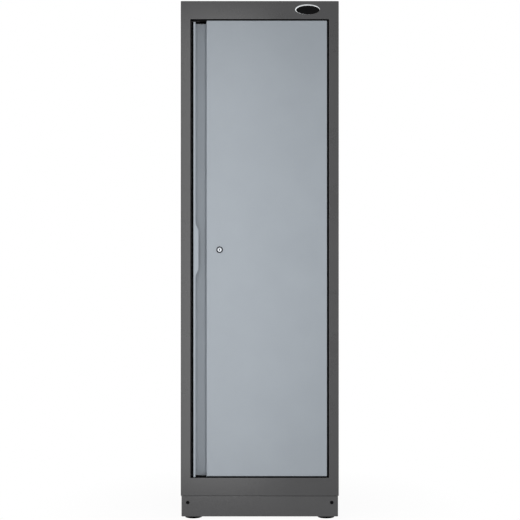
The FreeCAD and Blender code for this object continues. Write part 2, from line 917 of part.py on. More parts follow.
def rod_corners(bar, end_z):
    """The corner edges through a flat rod's thickness at one of its ends."""
    corners = [edge for edge in bar.Edges if abs(edge.Length - rod_thickness) < same_length]
    return [edge for edge in corners if abs(edge.CenterOfMass.z - end_z) < same_length]


def lock_rod(side):
    """A flat rod with a cross slot for its crank pin: the left one goes up, the right one down."""
    x = lock_x + side * rod_offset
    pin_z = crank_place(side).z
    near_z = pin_z + side * (rod_slot_height / 2 + rod_edge)
    tip_z = opening_top - rod_tip_gap if side < 0 else opening_bottom + rod_tip_gap
    half = rod_width / 2
    low, high = sorted([near_z, tip_z])
    bar = block(V(x - half, rod_front, low), V(x + half, rod_rear, high))
    bar = bar.makeChamfer(rod_tip_chamfer, rod_corners(bar, tip_z))
    bar = bar.makeFillet(rod_head_corner, rod_corners(bar, near_z))
    start = rod_front - cut_past
    slot = obround(V(x, 0, pin_z), rod_slot_length, rod_slot_height, start, rod_rear + cut_past)
    return bar.cut(slot)


def rod_guide(side):
    """A moulded block on the door's rear edge that a rod slides through."""
    x = lock_x + side * rod_offset
    edge_z = panel_top if side < 0 else panel_bottom
    inner_z = edge_z + side * (door_return - (door_return - guide_length) / 2)
    half = rod_width / 2 + guide_clearance
    low_z = min(inner_z, inner_z - side * guide_length)
    low = V(x - half - guide_wall, door_back, low_z)
    high = V(x + half + guide_wall, rod_rear + guide_clearance + guide_back, low_z + guide_length)
    body = rounded_block(low, high, guide_back / 2, -Y)
    passage = block(
        V(x - half, rod_front - guide_clearance, low_z - cut_past),
        V(x + half, rod_rear + guide_clearance, low_z + guide_length + cut_past),
    )
    return body.cut(passage)


# Plinth and feet
def plinth_screw_holes(solid):
    """A front plinth piece with the holes of the cover's two screws."""
    places = [V(side * screw_x, plinth_front_y - cut_past, screw_z) for side in (-1, 1)]
    return solid.cut([rod_along(p, Y, plinth_screw_shank, plinth_return) for p in places])


def plinth_front():
    """The removable front cover, with all four edges folded back."""
    cover = sheet_pan(
        V(-plinth_half, plinth_front_y, foot_clearance),
        V(plinth_half, plinth_front_y + plinth_return, carcass_bottom),
        Y,
        plinth_sheet,
        plinth_bend,
    )
    return plinth_screw_holes(cover)


def plinth_left():
    """A channel rail along the left side of the plinth."""
    line = [
        (-plinth_half + rail_flange, carcass_bottom),
        (-plinth_half, carcass_bottom),
        (-plinth_half, foot_clearance),
        (-plinth_half + rail_flange, foot_clearance),
    ]
    folds = [plinth_bend, plinth_bend]
    return folded_sheet(line, plinth_sheet, folds, FRONT_SECTION, rail_start, plinth_rear_y)


def plinth_rear():
    """A channel rail across the back, nested between the flanges of the side rails."""
    low = foot_clearance + plinth_sheet
    high = carcass_bottom - plinth_sheet
    line = [
        (plinth_rear_y - rail_flange, low),
        (plinth_rear_y, low),
        (plinth_rear_y, high),
        (plinth_rear_y - rail_flange, high),
    ]
    half = plinth_half - plinth_outer_bend
    folds = [plinth_bend, plinth_bend]
    return folded_sheet(line, plinth_sheet, folds, SIDE_SECTION, -half, half)


def plinth_screws():
    """Button-head screws with collars, through the front cover into the foot brackets."""
    collar = plinth_screw_collar / 2
    radius = plinth_screw_head / 2
    seat = plinth_screw_collar_thickness
    profile = [
        (0, plinth_screw_length),
        (plinth_screw_shank / 2, plinth_screw_length),
        (plinth_screw_shank / 2, 0),
        (collar, 0),
        (collar, -seat),
        (radius, -seat),
        (radius, -seat - plinth_screw_edge),
        (plinth_screw_crown / 2, -plinth_screw_rise),
        (0, -plinth_screw_rise),
    ]
    screws = []
    for side in (-1, 1):
        place = V(side * screw_x, plinth_front_y, screw_z)
        socket_start = place - Y * (plinth_screw_rise + cut_past)
        socket_length = plinth_screw_socket_depth + cut_past
        socket = hexagon(socket_start, Y, plinth_screw_socket, socket_length)
        screws.append(turned(profile, place, Y).cut(socket))
    return Part.makeCompound(screws)


def corner_block(low, size, bend):
    """A box whose three edges at its low corner are rounded."""
    solid = block(low, low + size)
    folds = [e for e in solid.Edges if min(v.Point.distanceToPoint(low) for v in e.Vertexes) < same_length]
    return solid.makeFillet(bend, folds)


def foot_bracket():
    """A corner gusset in the plinth: two walls and a floor with a hole for the foot's stud."""
    low = V(-plinth_half + plinth_sheet, plinth_front_y + plinth_sheet, bracket_height)
    size = V(bracket_size, bracket_size, bracket_rise)
    wall = V(bracket_sheet, bracket_sheet, bracket_sheet)
    outer = corner_block(low, size, bracket_bend + bracket_sheet)
    inner = corner_block(low + wall, size, bracket_bend)
    stud_start = V(-foot_x, -foot_y, bracket_height - cut_past)
    stud = rod_along(stud_start, Z, stud_hole, bracket_sheet + 2 * cut_past)
    return outer.cut([inner, stud])


def foot_brackets():
    """A gusset in each corner, the front two drilled for the cover's screws."""
    return Part.makeCompound([plinth_screw_holes(solid) for solid in in_all_corners(foot_bracket())])


def foot_nuts():
    """A nut welded on each gusset."""
    nut = hexagon(V(-foot_x, -foot_y, bracket_top), Z, nut_flats, nut_thickness)
    bore = stud_diameter + 2 * stud_clearance
    start = V(-foot_x, -foot_y, bracket_top - cut_past)
    nut = nut.cut(rod_along(start, Z, bore, nut_thickness + 2 * cut_past))
    return Part.makeCompound(in_all_corners(nut))


def foot_pad_solid():
    """A round pad with a sloping top and a socket for the stud's end."""
    socket = foot_socket / 2 + foot_socket_clearance
    radius = foot_pad / 2
    profile = [
        (0, 0),
        (radius - foot_pad_round, 0),
        (radius, foot_pad_round),
        (radius, foot_pad_edge),
        (foot_pad_neck / 2, foot_pad_height),
        (socket, foot_pad_height),
        (socket, foot_socket_floor),
        (0, foot_socket_floor),
    ]
    return turned(profile, V(-foot_x, -foot_y, 0), Z)


def foot_stud():
    """A stud with a plain end in the pad and a hexagon collar that stops below the gusset."""
    place = V(-foot_x, -foot_y, 0)
    collar_top = bracket_height - collar_gap
    stud_top = carcass_bottom - stud_top_gap
    radius = stud_diameter / 2
    profile = [
        (0, foot_socket_floor + collar_gap),
        (foot_socket / 2, foot_socket_floor + collar_gap),
        (foot_socket / 2, collar_top),
        (radius, collar_top),
        (radius, stud_top - stud_chamfer),
        (radius - stud_chamfer, stud_top),
        (0, stud_top),
    ]
    collar_low = foot_pad_height + collar_gap
    collar = hexagon(place + Z * collar_low, Z, nut_flats, collar_top - collar_low)
    return turned(profile, place, Z).fuse(collar).removeSplitter()


# Every piece under its own name
pieces = {
    "left_side_panel": left_side_panel(),
    "top_panel": top_panel(),
    "sill_rail": sill_rail(),
    "floor_panel": floor_panel(),
    "back_panel": back_panel(),
    "back_panel_rivets": back_panel_rivets(),
    "header_plate": header_plate(),
    "header_plate_rim": header_plate_rim(),
    "shelf_clips": shelf_clips(),
    "magnet_catches": magnet_catches(),
    "door_bumpers": door_bumpers(),
    "upper_hinge_pin": hinge_pin_solid(opening_top, -Z),
    "lower_hinge_pin": hinge_pin_solid(opening_bottom, Z),
    "upper_hinge_plate": hinge_plate(opening_top + carcass_sheet, hinge_pin),
    "lower_hinge_plate": hinge_plate(opening_bottom - carcass_sheet - hinge_plate_thickness, hinge_pin),
    "door_panel": door_panel(),
    "grip_channel": grip_channel(),
    "door_stiffener": door_stiffener(),
    "upper_hinge_bush": hinge_bush(panel_top, -Z),
    "lower_hinge_bush": hinge_bush(panel_bottom, Z),
    "upper_pivot_plate": hinge_plate(panel_top - door_sheet - hinge_plate_thickness, bush_barrel),
    "lower_pivot_plate": hinge_plate(panel_bottom + door_sheet, bush_barrel),
    "lock_plate": lock_plate(),
    "lock_bezel": lock_bezel_ring(),
    "lock_body": lock_body(),
    "lock_nut": lock_nut(),
    "lock_plug": lock_plug(),
    "lock_cam": lock_cam(),
    "lock_cam_screw": lock_cam_screw(),
    "upper_rod": lock_rod(-1),
    "lower_rod": lock_rod(1),
    "upper_rod_guide": rod_guide(-1),
    "lower_rod_guide": rod_guide(1),
    "plinth_front": plinth_front(),
    "plinth_left": plinth_left(),
    "plinth_rear": plinth_rear(),
    "plinth_screws": plinth_screws(),
    "foot_brackets": foot_brackets(),
    "foot_nuts": foot_nuts(),
}
pieces["right_side_panel"] = mirrored(pieces["left_side_panel"], X)
pieces["plinth_right"] = mirrored(pieces["plinth_left"], X)
for end, end_y in (("front", strip_front_y), ("rear", strip_rear_y)):
    pieces["left_" + end + "_shelf_strip"] = left_shelf_strip(end_y)
    pieces["right_" + end + "_shelf_strip"] = mirrored(left_shelf_strip(end_y), X)
for number, slot in enumerate(shelf_slots, 1):
    pieces["shelf_" + str(number)] = shelf(slot)
corners = ("front_left", "front_right", "rear_left", "rear_right")
for corner, pad, stud in zip(corners, in_all_corners(foot_pad_solid()), in_all_corners(foot_stud())):
    pieces[corner + "_foot_pad"] = pad
    pieces[corner + "_foot_stud"] = stud

os.makedirs("parts", exist_ok=True)
for name, shape in pieces.items():
    shape.exportStep("parts/" + name + ".step")
print(len(pieces), "pieces, rod travel", round(rod_travel, 3))
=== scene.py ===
# %% [markdown]
# # A tall workshop cabinet with one hinged door
# The cabinet is folded from sheet steel: a dark grey carcass on a plinth, and a lighter door with a full-height
# grip channel. Its shapes come ready made from a CAD model, so this lesson is about how such a cabinet looks: the
# finishes, the light, and the small turned and threaded pieces that are worth remaking as finer meshes.

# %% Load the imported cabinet
import math

import bmesh
import bpy
from mathutils import Matrix, Vector


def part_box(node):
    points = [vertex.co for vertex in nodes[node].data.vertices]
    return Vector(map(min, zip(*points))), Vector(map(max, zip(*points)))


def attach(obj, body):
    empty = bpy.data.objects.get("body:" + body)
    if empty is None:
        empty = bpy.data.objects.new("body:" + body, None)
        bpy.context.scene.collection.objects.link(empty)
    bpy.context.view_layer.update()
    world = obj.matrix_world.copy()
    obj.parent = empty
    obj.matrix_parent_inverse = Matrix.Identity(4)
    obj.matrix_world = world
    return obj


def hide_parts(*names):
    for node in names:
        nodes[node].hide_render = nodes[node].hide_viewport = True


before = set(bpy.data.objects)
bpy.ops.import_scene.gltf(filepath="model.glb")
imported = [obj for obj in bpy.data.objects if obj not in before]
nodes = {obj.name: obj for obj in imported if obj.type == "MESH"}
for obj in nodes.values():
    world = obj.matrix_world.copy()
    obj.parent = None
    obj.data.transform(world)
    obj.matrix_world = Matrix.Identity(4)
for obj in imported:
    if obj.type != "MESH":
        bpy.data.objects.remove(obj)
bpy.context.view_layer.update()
mm = 0.001

# %% [markdown]
# ## The photograph's viewpoint
# The edges of the cabinet stay upright and its front keeps its proportions, so the camera stands level and square
# to the door. A lens can be found by eye, but here it follows from two sizes: the distance to the door, read from
# how much smaller the rear of the grip channel looks, and the height that the frame covers at the door.

# %% Camera
front_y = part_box("left_side_panel")[0].y
camera_distance = 4.3
camera_height = 1.0005
camera_side = 0.9 * mm
height_in_view = 2.0059

camera_data = bpy.data.cameras.new("camera")
camera_data.sensor_fit = "VERTICAL"
camera_data.angle = 2 * math.atan(height_in_view / 2 / camera_distance)
camera = bpy.data.objects.new("camera", camera_data)
camera.location = (camera_side, front_y - camera_distance, camera_height)
camera.rotation_euler = (math.radians(90), 0, 0)
bpy.context.scene.collection.objects.link(camera)
bpy.context.scene.camera = camera
print("camera angle", round(math.degrees(camera_data.angle), 2), "degrees")

# %% [markdown]
# ## Colours and nodes
# A colour read from a screen is an sRGB value, but a shader reckons in linear light, so one function does the
# change. A second small function adds a shader node with its settings and its links, which keeps each finish below
# down to a short list of what is joined to what.


# %% Two helpers for every finish
def linear(hex_colour):
    """An sRGB colour such as "a3aab0" as linear red, green, blue and alpha."""
    parts = [int(hex_colour[start:start + 2], 16) / 255 for start in (0, 2, 4)]
    return [p / 12.92 if p <= 0.04045 else ((p + 0.055) / 1.055) ** 2.4 for p in parts] + [1.0]


def add_node(tree, kind, settings=None, links=None):
    """A new shader node: settings are its own values or its sockets' values, links are {socket: (node, output)}."""
    node = tree.nodes.new(kind)
    for key, value in (settings or {}).items():
        if isinstance(key, str) and hasattr(node, key):
            setattr(node, key, value)
        else:
            node.inputs[key].default_value = value
    for socket, (source, output) in (links or {}).items():
        tree.links.new(source.outputs[output], node.inputs[socket])
    return node


print("mid grey in linear light:", [round(part, 3) for part in linear("808080")[:3]])

# %% [markdown]
# ## Light, background and floor
# The door is brightest a little left of its middle and falls off softly to the top, the bottom and the right. A
# single lamp would light one flank of the grip channel and leave the other black, so there are three upright soft
# boxes: a near one in front, which gives the fall-off, and one at each side, which light the two flanks. An even fill
# from all around softens the rest. To the camera, and in reflections, the world is plain white.

# %% Soft boxes
lamp_tall = 2.1
# for each box: its place left or right of the cabinet's middle, its reach in front of the door,
# its width in metres and its radiance
soft_boxes = {
    "left": (-1.75, 1.1, 0.5, 7.4),
    "front": (-0.18, 0.65, 0.4, 1.75),
    "right": (1.25, 1.1, 0.5, 5.3),
}

for name, (side, reach, width, radiance) in soft_boxes.items():
    lamp_data = bpy.data.lights.new(name + "_soft_box", "AREA")
    lamp_data.shape = "RECTANGLE"
    lamp_data.size = width
    lamp_data.size_y = lamp_tall
    lamp_data.energy = radiance * math.pi * width * lamp_tall
    lamp = bpy.data.objects.new(name + "_soft_box", lamp_data)
    lamp.location = (side, front_y - reach, lamp_tall / 2)
    lamp.rotation_euler = (math.radians(90), 0, 0)
    lamp.visible_camera = False
    bpy.context.scene.collection.objects.link(lamp)
print(len(soft_boxes), "soft boxes", lamp_tall, "m tall")


# %% White world
def plainly_seen(tree):
    """1 for what is seen by the camera, in a reflection or through glass, and 0 for what only gives light."""
    ray = add_node(tree, "ShaderNodeLightPath")
    seen = (ray, "Is Camera Ray")
    for other in ("Is Glossy Ray", "Is Transmission Ray"):
        either = add_node(tree, "ShaderNodeMath", {"operation": "MAXIMUM"}, {0: seen, 1: (ray, other)})
        seen = (either, 0)
    return seen


fill_strength = 0.30
plain_white = (1, 1, 1, 1)
world = bpy.data.worlds.new("white_studio")
bpy.context.scene.world = world
world.use_nodes = True
sky = world.node_tree
sky.nodes.clear()
fill = add_node(sky, "ShaderNodeBackground", {"Color": plain_white, "Strength": fill_strength})
white = add_node(sky, "ShaderNodeBackground", {"Color": plain_white, "Strength": 1.0})
shown = add_node(sky, "ShaderNodeMixShader", links={0: plainly_seen(sky), 1: (fill, 0), 2: (white, 0)})
add_node(sky, "ShaderNodeOutputWorld", links={"Surface": (shown, 0)})
bpy.context.scene.view_settings.view_transform = "Standard"
print("a white world that fills with strength", fill_strength)

# %% [markdown]
# The floor is a pale matt sheet. A real studio floor burns out to white away from the object, so this one shows a
# share of plain white to the camera, growing with distance, and keeps the rest for the cabinet's own soft shadow.

# %% Floor sheet
floor_half = 6.0
plane = bmesh.new()
bmesh.ops.create_grid(plane, x_segments=1, y_segments=1, size=floor_half)
floor_mesh = bpy.data.meshes.new("floor")
plane.to_mesh(floor_mesh)
plane.free()
floor = bpy.data.objects.new("floor", floor_mesh)
bpy.context.scene.collection.objects.link(floor)
print("floor", 2 * floor_half, "m across")

# %% Floor's finish
# the share of white near the cabinet and beyond its shadow, and how far from the middle each begins
white_near, white_far = 0.95, 1.0
near_reach, shadow_reach = 0.3, 0.9

pale_floor = bpy.data.materials.new("pale_matt_floor")
pale_floor.use_nodes = True
tree = pale_floor.node_tree
tree.nodes.clear()
place = add_node(tree, "ShaderNodeTexCoord")
away = add_node(tree, "ShaderNodeVectorMath", {"operation": "LENGTH"}, {0: (place, "Object")})
limits = {"From Min": near_reach, "From Max": shadow_reach, "To Min": white_near, "To Max": white_far}
share = add_node(tree, "ShaderNodeMapRange", limits, {"Value": (away, "Value")})
factors = {0: (share, "Result"), 1: plainly_seen(tree)}
amount = add_node(tree, "ShaderNodeMath", {"operation": "MULTIPLY"}, factors)
matt = add_node(tree, "ShaderNodeBsdfDiffuse", {"Color": linear("e4e4e4")})
glow = add_node(tree, "ShaderNodeEmission", {"Color": plain_white, "Strength": 1.0})
both = add_node(tree, "ShaderNodeMixShader", links={0: (amount, 0), 1: (matt, 0), 2: (glow, 0)})
add_node(tree, "ShaderNodeOutputMaterial", links={"Surface": (both, 0)})
floor_mesh.materials.append(pale_floor)
print("the floor's shadow fades out at", shadow_reach, "m")

# %% [markdown]
# ## Powder coat
# Steel cabinets are coated with dry polyester powder, which melts into one skin in an oven. The eye sees a satin
# surface with a very fine orange peel, a colour that is even but never perfectly so, and a sheet that is not quite
# flat. Each of those is one pattern in the object's own coordinates, sized in real millimetres.

# %% Start and end of a finish
# nearly all of a noise pattern lies between these two values
noise_range = (0.3, 0.7)


def per_metre(size_mm):
    """A pattern's scale for features of about this size in millimetres."""
    return 1000.0 / size_mm


def new_finish(name):
    """A material with its shader, and the coordinates that its patterns are laid out in, in metres."""
    finish = bpy.data.materials.new(name)
    finish.use_nodes = True
    tree = finish.node_tree
    coords = add_node(tree, "ShaderNodeTexCoord")
    return finish, tree, tree.nodes["Principled BSDF"], (coords, "Object")


def join_up(tree, shader, tint, dulling, surface, tones, roughness, tint_range=noise_range):
    """Lets one pattern tint a shader between two tones, one vary its roughness, and a bump bend its surface."""
    tone = add_node(tree, "ShaderNodeValToRGB", links={"Fac": tint})
    for stop, position, colour in zip(tone.color_ramp.elements, tint_range, tones):
        stop.position, stop.color = position, linear(colour)
    limits = dict(zip(("From Min", "From Max", "To Min", "To Max"), noise_range + roughness))
    dull = add_node(tree, "ShaderNodeMapRange", limits, {"Value": dulling})
    tree.links.new(tone.outputs["Color"], shader.inputs["Base Color"])
    tree.links.new(dull.outputs["Result"], shader.inputs["Roughness"])
    tree.links.new(surface.outputs["Normal"], shader.inputs["Normal"])


finishes = {}
print("a 2 mm pattern has scale", per_metre(2))

# %% Powder coat
# cloudiness of the film, a hand's breadth across, with specks of the powder's grain in it
cloud_mm = 170
# the grain is about 0.3 mm; drawn at 1.5 mm so that it shows in a close view
powder_mm, powder_share = 1.5, 0.25
# orange peel is 1 to 2 mm across and some hundredths of a millimetre deep
peel_mm, peel_depth = 2.2, 0.02
# the sheet under it bows by half a millimetre
bow_mm, bow_depth = 260, 0.5


def powder_coat(name, tones, roughness):
    """Satin polyester powder coat between two near colours."""
    finish, tree, shader, coords = new_finish(name)
    cloud = add_node(tree, "ShaderNodeTexNoise", {"Scale": per_metre(cloud_mm), "Detail": 3.0}, {"Vector": coords})
    powder = add_node(tree, "ShaderNodeTexNoise", {"Scale": per_metre(powder_mm), "Detail": 1.0}, {"Vector": coords})
    film = add_node(tree, "ShaderNodeMix", {"Factor": powder_share}, {2: (cloud, "Fac"), 3: (powder, "Fac")})
    bow = add_node(tree, "ShaderNodeTexNoise", {"Scale": per_metre(bow_mm), "Detail": 0.0}, {"Vector": coords})
    wavy = add_node(tree, "ShaderNodeBump", {"Distance": bow_depth * mm}, {"Height": (bow, "Fac")})
    peel = add_node(tree, "ShaderNodeTexNoise", {"Scale": per_metre(peel_mm), "Detail": 0.0}, {"Vector": coords})
    on_sheet = {"Height": (peel, "Fac"), "Normal": (wavy, "Normal")}
    peeled = add_node(tree, "ShaderNodeBump", {"Distance": peel_depth * mm}, on_sheet)
    join_up(tree, shader, (film, 0), (film, 0), peeled, tones, roughness)
    shader.inputs["IOR"].default_value = 1.5
    return finish


print("orange peel has scale", round(per_metre(peel_mm)))

# %% Dark coat on the carcass, light coat on the door
dark_roughness, light_roughness = (0.25, 0.31), (0.47, 0.53)
finishes["carcass_powder_coat"] = powder_coat("dark_grey_satin_powder_coat", ("3c3c3d", "404041"), dark_roughness)
finishes["door_powder_coat"] = powder_coat("light_grey_satin_powder_coat", ("9299a0", "979ea5"), light_roughness)
print("powder coats:", [finish.name for finish in finishes.values()])

# %% [markdown]
# ## Metals
# The hardware is cheap and varied: bright zinc plate with its faint blue and straw bloom, chrome on the lock, dark
# nickel round it and plain aluminium rivets. A metal's colour is all in its reflection, so metallic is 1, the IOR
# stays at its default, and the differences are in tint, roughness and the marks left by making.

# %% A metal with blotches and drawn lines
blotch_range = (0.32, 0.68)
# the lines are twenty times as long as they are wide, along the height of the part
line_squash = (1.0, 1.0, 0.05)


def metal(name, tones, roughness, blotch_mm, line_mm, line_depth):
    """A plated or bare metal: blotches tint it, and fine lines along the part scatter its gloss."""
    finish, tree, shader, coords = new_finish(name)
    blotch = add_node(tree, "ShaderNodeTexNoise", {"Scale": per_metre(blotch_mm), "Detail": 4.0}, {"Vector": coords})
    drawn = add_node(tree, "ShaderNodeMapping", {"Scale": line_squash}, {"Vector": coords})
    lines = add_node(tree, "ShaderNodeTexNoise", {"Scale": per_metre(line_mm), "Detail": 2.0}, {"Vector": (drawn, 0)})
    marks = add_node(tree, "ShaderNodeBump", {"Distance": line_depth * mm}, {"Height": (lines, "Fac")})
    join_up(tree, shader, (blotch, "Fac"), (lines, "Fac"), marks, tones, roughness, blotch_range)
    shader.inputs["Metallic"].default_value = 1.0
    return finish


print("drawn lines are", round(1 / line_squash[2]), "times as long as wide")

# %% Plated and bare metals
# the last three numbers are the blotches' size and the lines' width and depth in mm; real lines are about 0.1 mm
# wide, and are drawn wider so that they show

# zinc plate: cool grey, with a faint blue and straw bloom
finishes["zinc_plated_steel"] = metal("bright_zinc_plate", ("8f9296", "a9a9a3"), (0.34, 0.48), 14, 0.6, 0.004)
# polished chrome, a little worn: a clear, cool reflection
finishes["polished_chrome"] = metal("polished_chrome_plate", ("96999d", "a2a5a9"), (0.20, 0.28), 9, 0.4, 0.001)
# satin chrome: brighter, with a softer highlight
finishes["satin_chrome"] = metal("satin_chrome_plate", ("bfc2c4", "cdcfd0"), (0.24, 0.34), 9, 0.4, 0.002)
# dark nickel: nearly black, with a dim sheen where it is rounded
finishes["dark_bezel"] = metal("dark_nickel_plate", ("141518", "1c1d20"), (0.26, 0.36), 6, 0.4, 0.002)
# bare aluminium: pale and dull
finishes["aluminium"] = metal("bare_aluminium", ("b9bbbd", "cdcecf"), (0.34, 0.48), 3, 0.4, 0.003)
print(len(finishes), "finishes so far")

# %% [markdown]
# ## Plastics, rubber, oxide and enamel
# These are all dull or dark dielectrics, told apart by gloss and by the grain of their surface: a mould's spark
# eroded grain on the plastics, a matt bloom on the rubber, and a deep shine on the stoved enamel of the plate. In an
# all-white room even a black surface mirrors a few percent of white, which a rough or porous one does not, so their
# specular level is set well below that of a smooth plastic.


# %% A moulded or coated surface with grain
def grained(name, tones, roughness, grain_mm, grain_depth, shine):
    """A dielectric with a fine grain that changes its tone, gloss and height together."""
    finish, tree, shader, coords = new_finish(name)
    grain = add_node(tree, "ShaderNodeTexNoise", {"Scale": per_metre(grain_mm), "Detail": 3.0}, {"Vector": coords})
    pits = add_node(tree, "ShaderNodeBump", {"Distance": grain_depth * mm}, {"Height": (grain, "Fac")})
    join_up(tree, shader, (grain, "Fac"), (grain, "Fac"), pits, tones, roughness)
    shader.inputs["IOR"].default_value = 1.53
    shader.inputs["Specular IOR Level"].default_value = shine
    return finish


# the last three numbers are the grain's size and depth in mm and the specular level; real grain is about 0.1 mm
# across, and is drawn at about 1 mm so that it shows

# black oxide: a thin dark skin on the steel, dull and a little mottled
finishes["black_steel"] = grained("black_oxide_steel", ("070708", "0c0c0d"), (0.38, 0.5), 1.2, 0.01, 0.04)
# polyamide from an eroded mould: dull, with an even grain
finishes["black_plastic"] = grained("moulded_black_polyamide", ("060607", "0b0b0c"), (0.55, 0.68), 0.9, 0.03, 0.03)
# foam rubber: matt all over, because its pores trap the light
finishes["black_rubber"] = grained("black_foam_rubber", ("060606", "0b0b0b"), (0.75, 0.9), 0.8, 0.03, 0.05)
# stoved enamel: smooth and deep, with a slow ripple in place of a grain
finishes["plate_enamel"] = grained("black_stoved_enamel", ("060607", "0a0a0b"), (0.10, 0.16), 6, 0.01, 0.06)
print(len(finishes), "finishes")

# %% [markdown]
# ## Dressing the CAD pieces
# Every piece of the CAD model arrives with a plain material that is named for its finish in the record, so the
# dressing is a lookup. The pieces themselves stay where they are. The plinth gets a copy of the carcass's coat made a
# shade lighter: painted light, standing in for the extra light that falls on the plinth.

# %% Give each node its finish
for node in nodes.values():
    slot = node.material_slots[0]
    slot.material = finishes[slot.material.name]
# painted light: the carcass's coat a shade lighter, for the light that falls on the plinth
plinth_painted_light_coat = powder_coat("plinth_grey_powder_coat_with_painted_light", ("414142", "454546"), dark_roughness)
for side in ("front", "left", "right", "rear"):
    nodes["plinth_" + side].material_slots[0].material = plinth_painted_light_coat
print("dressed", len(nodes), "nodes")

# %% [markdown]
# ## Remaking the small hardware
# The CAD meshes are exact but plain: a stud has no thread and a foot has no ribs. Nearly all of that hardware is
# turned, so one helper stacks rings of points into a turned skin. It could be done with the Screw modifier, but here
# a ring's radius and height may also depend on the angle, which is enough for a hexagon, an oval or a keyway.


# %% Turned skins
def turn(shape, profile, place, steps=48, closed=False):
    """Adds a turned skin to a mesh and returns its bands of faces.

    The profile's points are (radius, height) in mm along the axis, and either may be a function of the angle.
    """
    rings = []
    for radius, height in profile:
        ring = []
        for step in range(1 if radius == 0 else steps):
            angle = 2 * math.pi * step / steps
            reach = radius(angle) if callable(radius) else radius
            rise = height(angle) if callable(height) else height
            spot = Vector((reach * math.cos(angle), reach * math.sin(angle), rise))
            ring.append(shape.verts.new(place @ (spot * mm)))
        rings.append(ring)
    if closed:
        rings.append(rings[0])
    bands = []
    for lower, upper in zip(rings, rings[1:]):
        band = []
        for step in range(steps):
            after = (step + 1) % steps
            around = [lower[step % len(lower)], lower[after % len(lower)]]
            around += [upper[after % len(upper)], upper[step % len(upper)]]
            band.append(shape.faces.new(list(dict.fromkeys(around))))
        bands.append(band)
    return bands


sample = bmesh.new()
turn(sample, [(0, 0), (5, 0), (5, 3), (0, 3)], Matrix())
print("a plain turned disc has", len(sample.faces), "faces")
sample.free()

# %% Places for turned skins
# into the cabinet, out of its front, and up
inward, outward, upward = (0, 1, 0), (0, -1, 0), (0, 0, 1)


def along(direction, start):
    """The place of a turned skin whose axis runs from start in a direction."""
    return Matrix.Translation(start) @ Vector(direction).to_track_quat("Z", "Y").to_matrix().to_4x4()


def middle(node):
    """The middle of a node's box."""
    low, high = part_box(node)
    return (low + high) / 2


print("the lock's axis is at", [round(part, 4) for part in middle("lock_plug")])

# %% [markdown]
# A piece has to ride on the body that carries it, wear one of the record's finishes, and hide the CAD nodes it stands
# for. One helper does that. It also shades faces smoothly up to a crease of 35 degrees, as turned and rolled metal
# looks, and leaves sharper edges sharp.

# %% From a mesh to a piece
crease = math.radians(35)


def new_piece(name, shape, body, slot, stands_for=(), inner_slot=None):
    """Turns a mesh into a piece with its finish, riding on a body. Faces of index 1 take the inner finish."""
    bmesh.ops.recalc_face_normals(shape, faces=shape.faces)
    mesh = bpy.data.meshes.new(name)
    shape.to_mesh(mesh)
    shape.free()
    mesh.materials.append(finishes[slot])
    if inner_slot:
        mesh.materials.append(finishes[inner_slot])
    mesh.shade_smooth()
    mesh.set_sharp_from_angle(angle=crease)
    piece = bpy.data.objects.new(name, mesh)
    bpy.context.scene.collection.objects.link(piece)
    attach(piece, body)
    if stands_for:
        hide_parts(*stands_for)
    return piece


print("ready to make pieces in", len(finishes), "finishes")

# %% [markdown]
# ## Feet
# A levelling foot has a moulded pad, ribbed round its edge for the fingers, and a steel stud with a hexagon for the
# spanner. The ribs are a ripple in the radius of two rings, so they also show in the outline, where a bump texture
# would not.

# %% Ribbed pads
corners = ["front_left", "front_right", "rear_left", "rear_right"]
pad_radius = (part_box("front_left_foot_pad")[1].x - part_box("front_left_foot_pad")[0].x) / 2 / mm
pad_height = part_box("front_left_foot_pad")[1].z / mm
socket_radius = 6.08
socket_floor = 3.0
rib_count = 40
rib_depth = 0.5


def ribbed_edge(angle):
    """Broad ribs with narrow grooves between them."""
    return pad_radius - rib_depth * max(0.0, math.cos(rib_count * angle)) ** 2


pad_profile = [
    (0, 0.7), (pad_radius - 6.0, 0.7), (pad_radius - 5.4, 0.0), (pad_radius - 0.6, 0.0), (ribbed_edge, 0.5),
    (ribbed_edge, 3.5), (pad_radius - 0.8, 4.2), (pad_radius - 2.4, 4.8), (20.0, 6.9), (14.8, 8.1),
    (12.6, pad_height), (8.0, pad_height), (socket_radius + 0.5, pad_height - 0.3),
    (socket_radius, pad_height - 0.8), (socket_radius, socket_floor), (0, socket_floor),
]
for corner in corners:
    foot = middle(corner + "_foot_pad")
    shape = bmesh.new()
    turn(shape, pad_profile, Matrix.Translation((foot.x, foot.y, 0)), steps=6 * rib_count)
    new_piece(corner + "_ribbed_pad", shape, corner + "_foot", "black_plastic", [corner + "_foot_pad"])
print("pads", 2 * pad_radius, "mm across with", rib_count, "ribs")

# %% [markdown]
# The stud's thread is real too. A thread's outline at one height is a circle whose radius rises and falls once in a
# turn, so each ring takes its radius from where it is in the pitch, and the rings above it are shifted round: that
# draws the helix. The hexagon's corners are chamfered as a lathe leaves them, in shallow arcs.


# %% Hexagons
def six_sided(flats):
    """A hexagon's radius at an angle, with a corner at angle 0."""
    sixth = math.pi / 3
    return lambda angle: flats / 2 / math.cos(angle % sixth - sixth / 2)


def chamfered(flats, level, slope):
    """The height of a hexagon's edge at an angle, where a cone has cut its corners."""
    return lambda angle: level - slope * (six_sided(flats)(angle) - flats / 2)


print("a 17 mm hexagon is", round(2 * six_sided(17)(0), 2), "mm over its corners")

# %% Threads
# of a standard thread's pitch: its depth, half of the flat at its root, and the width of a flank
depth_share, root_share, flank_share = 0.61, 0.125, 0.31


def thread_rings(radius, pitch, start, end, rows=8):
    """Rings of a standard thread between two heights, running out gently at both ends."""
    depth = depth_share * pitch
    rings = []
    count = int((end - start) / pitch * rows)
    for row in range(count + 1):
        height = start + row * pitch / rows
        run_out = min(1.0, row / rows, (count - row) / rows)

        def ring(angle, height=height, run_out=run_out):
            phase = (height / pitch - angle / (2 * math.pi)) % 1.0
            crest = min(1.0, max(0.0, (abs(phase - 0.5) - root_share) / flank_share))
            return radius - depth * (1 - crest * run_out)

        rings.append((ring, height))
    return rings


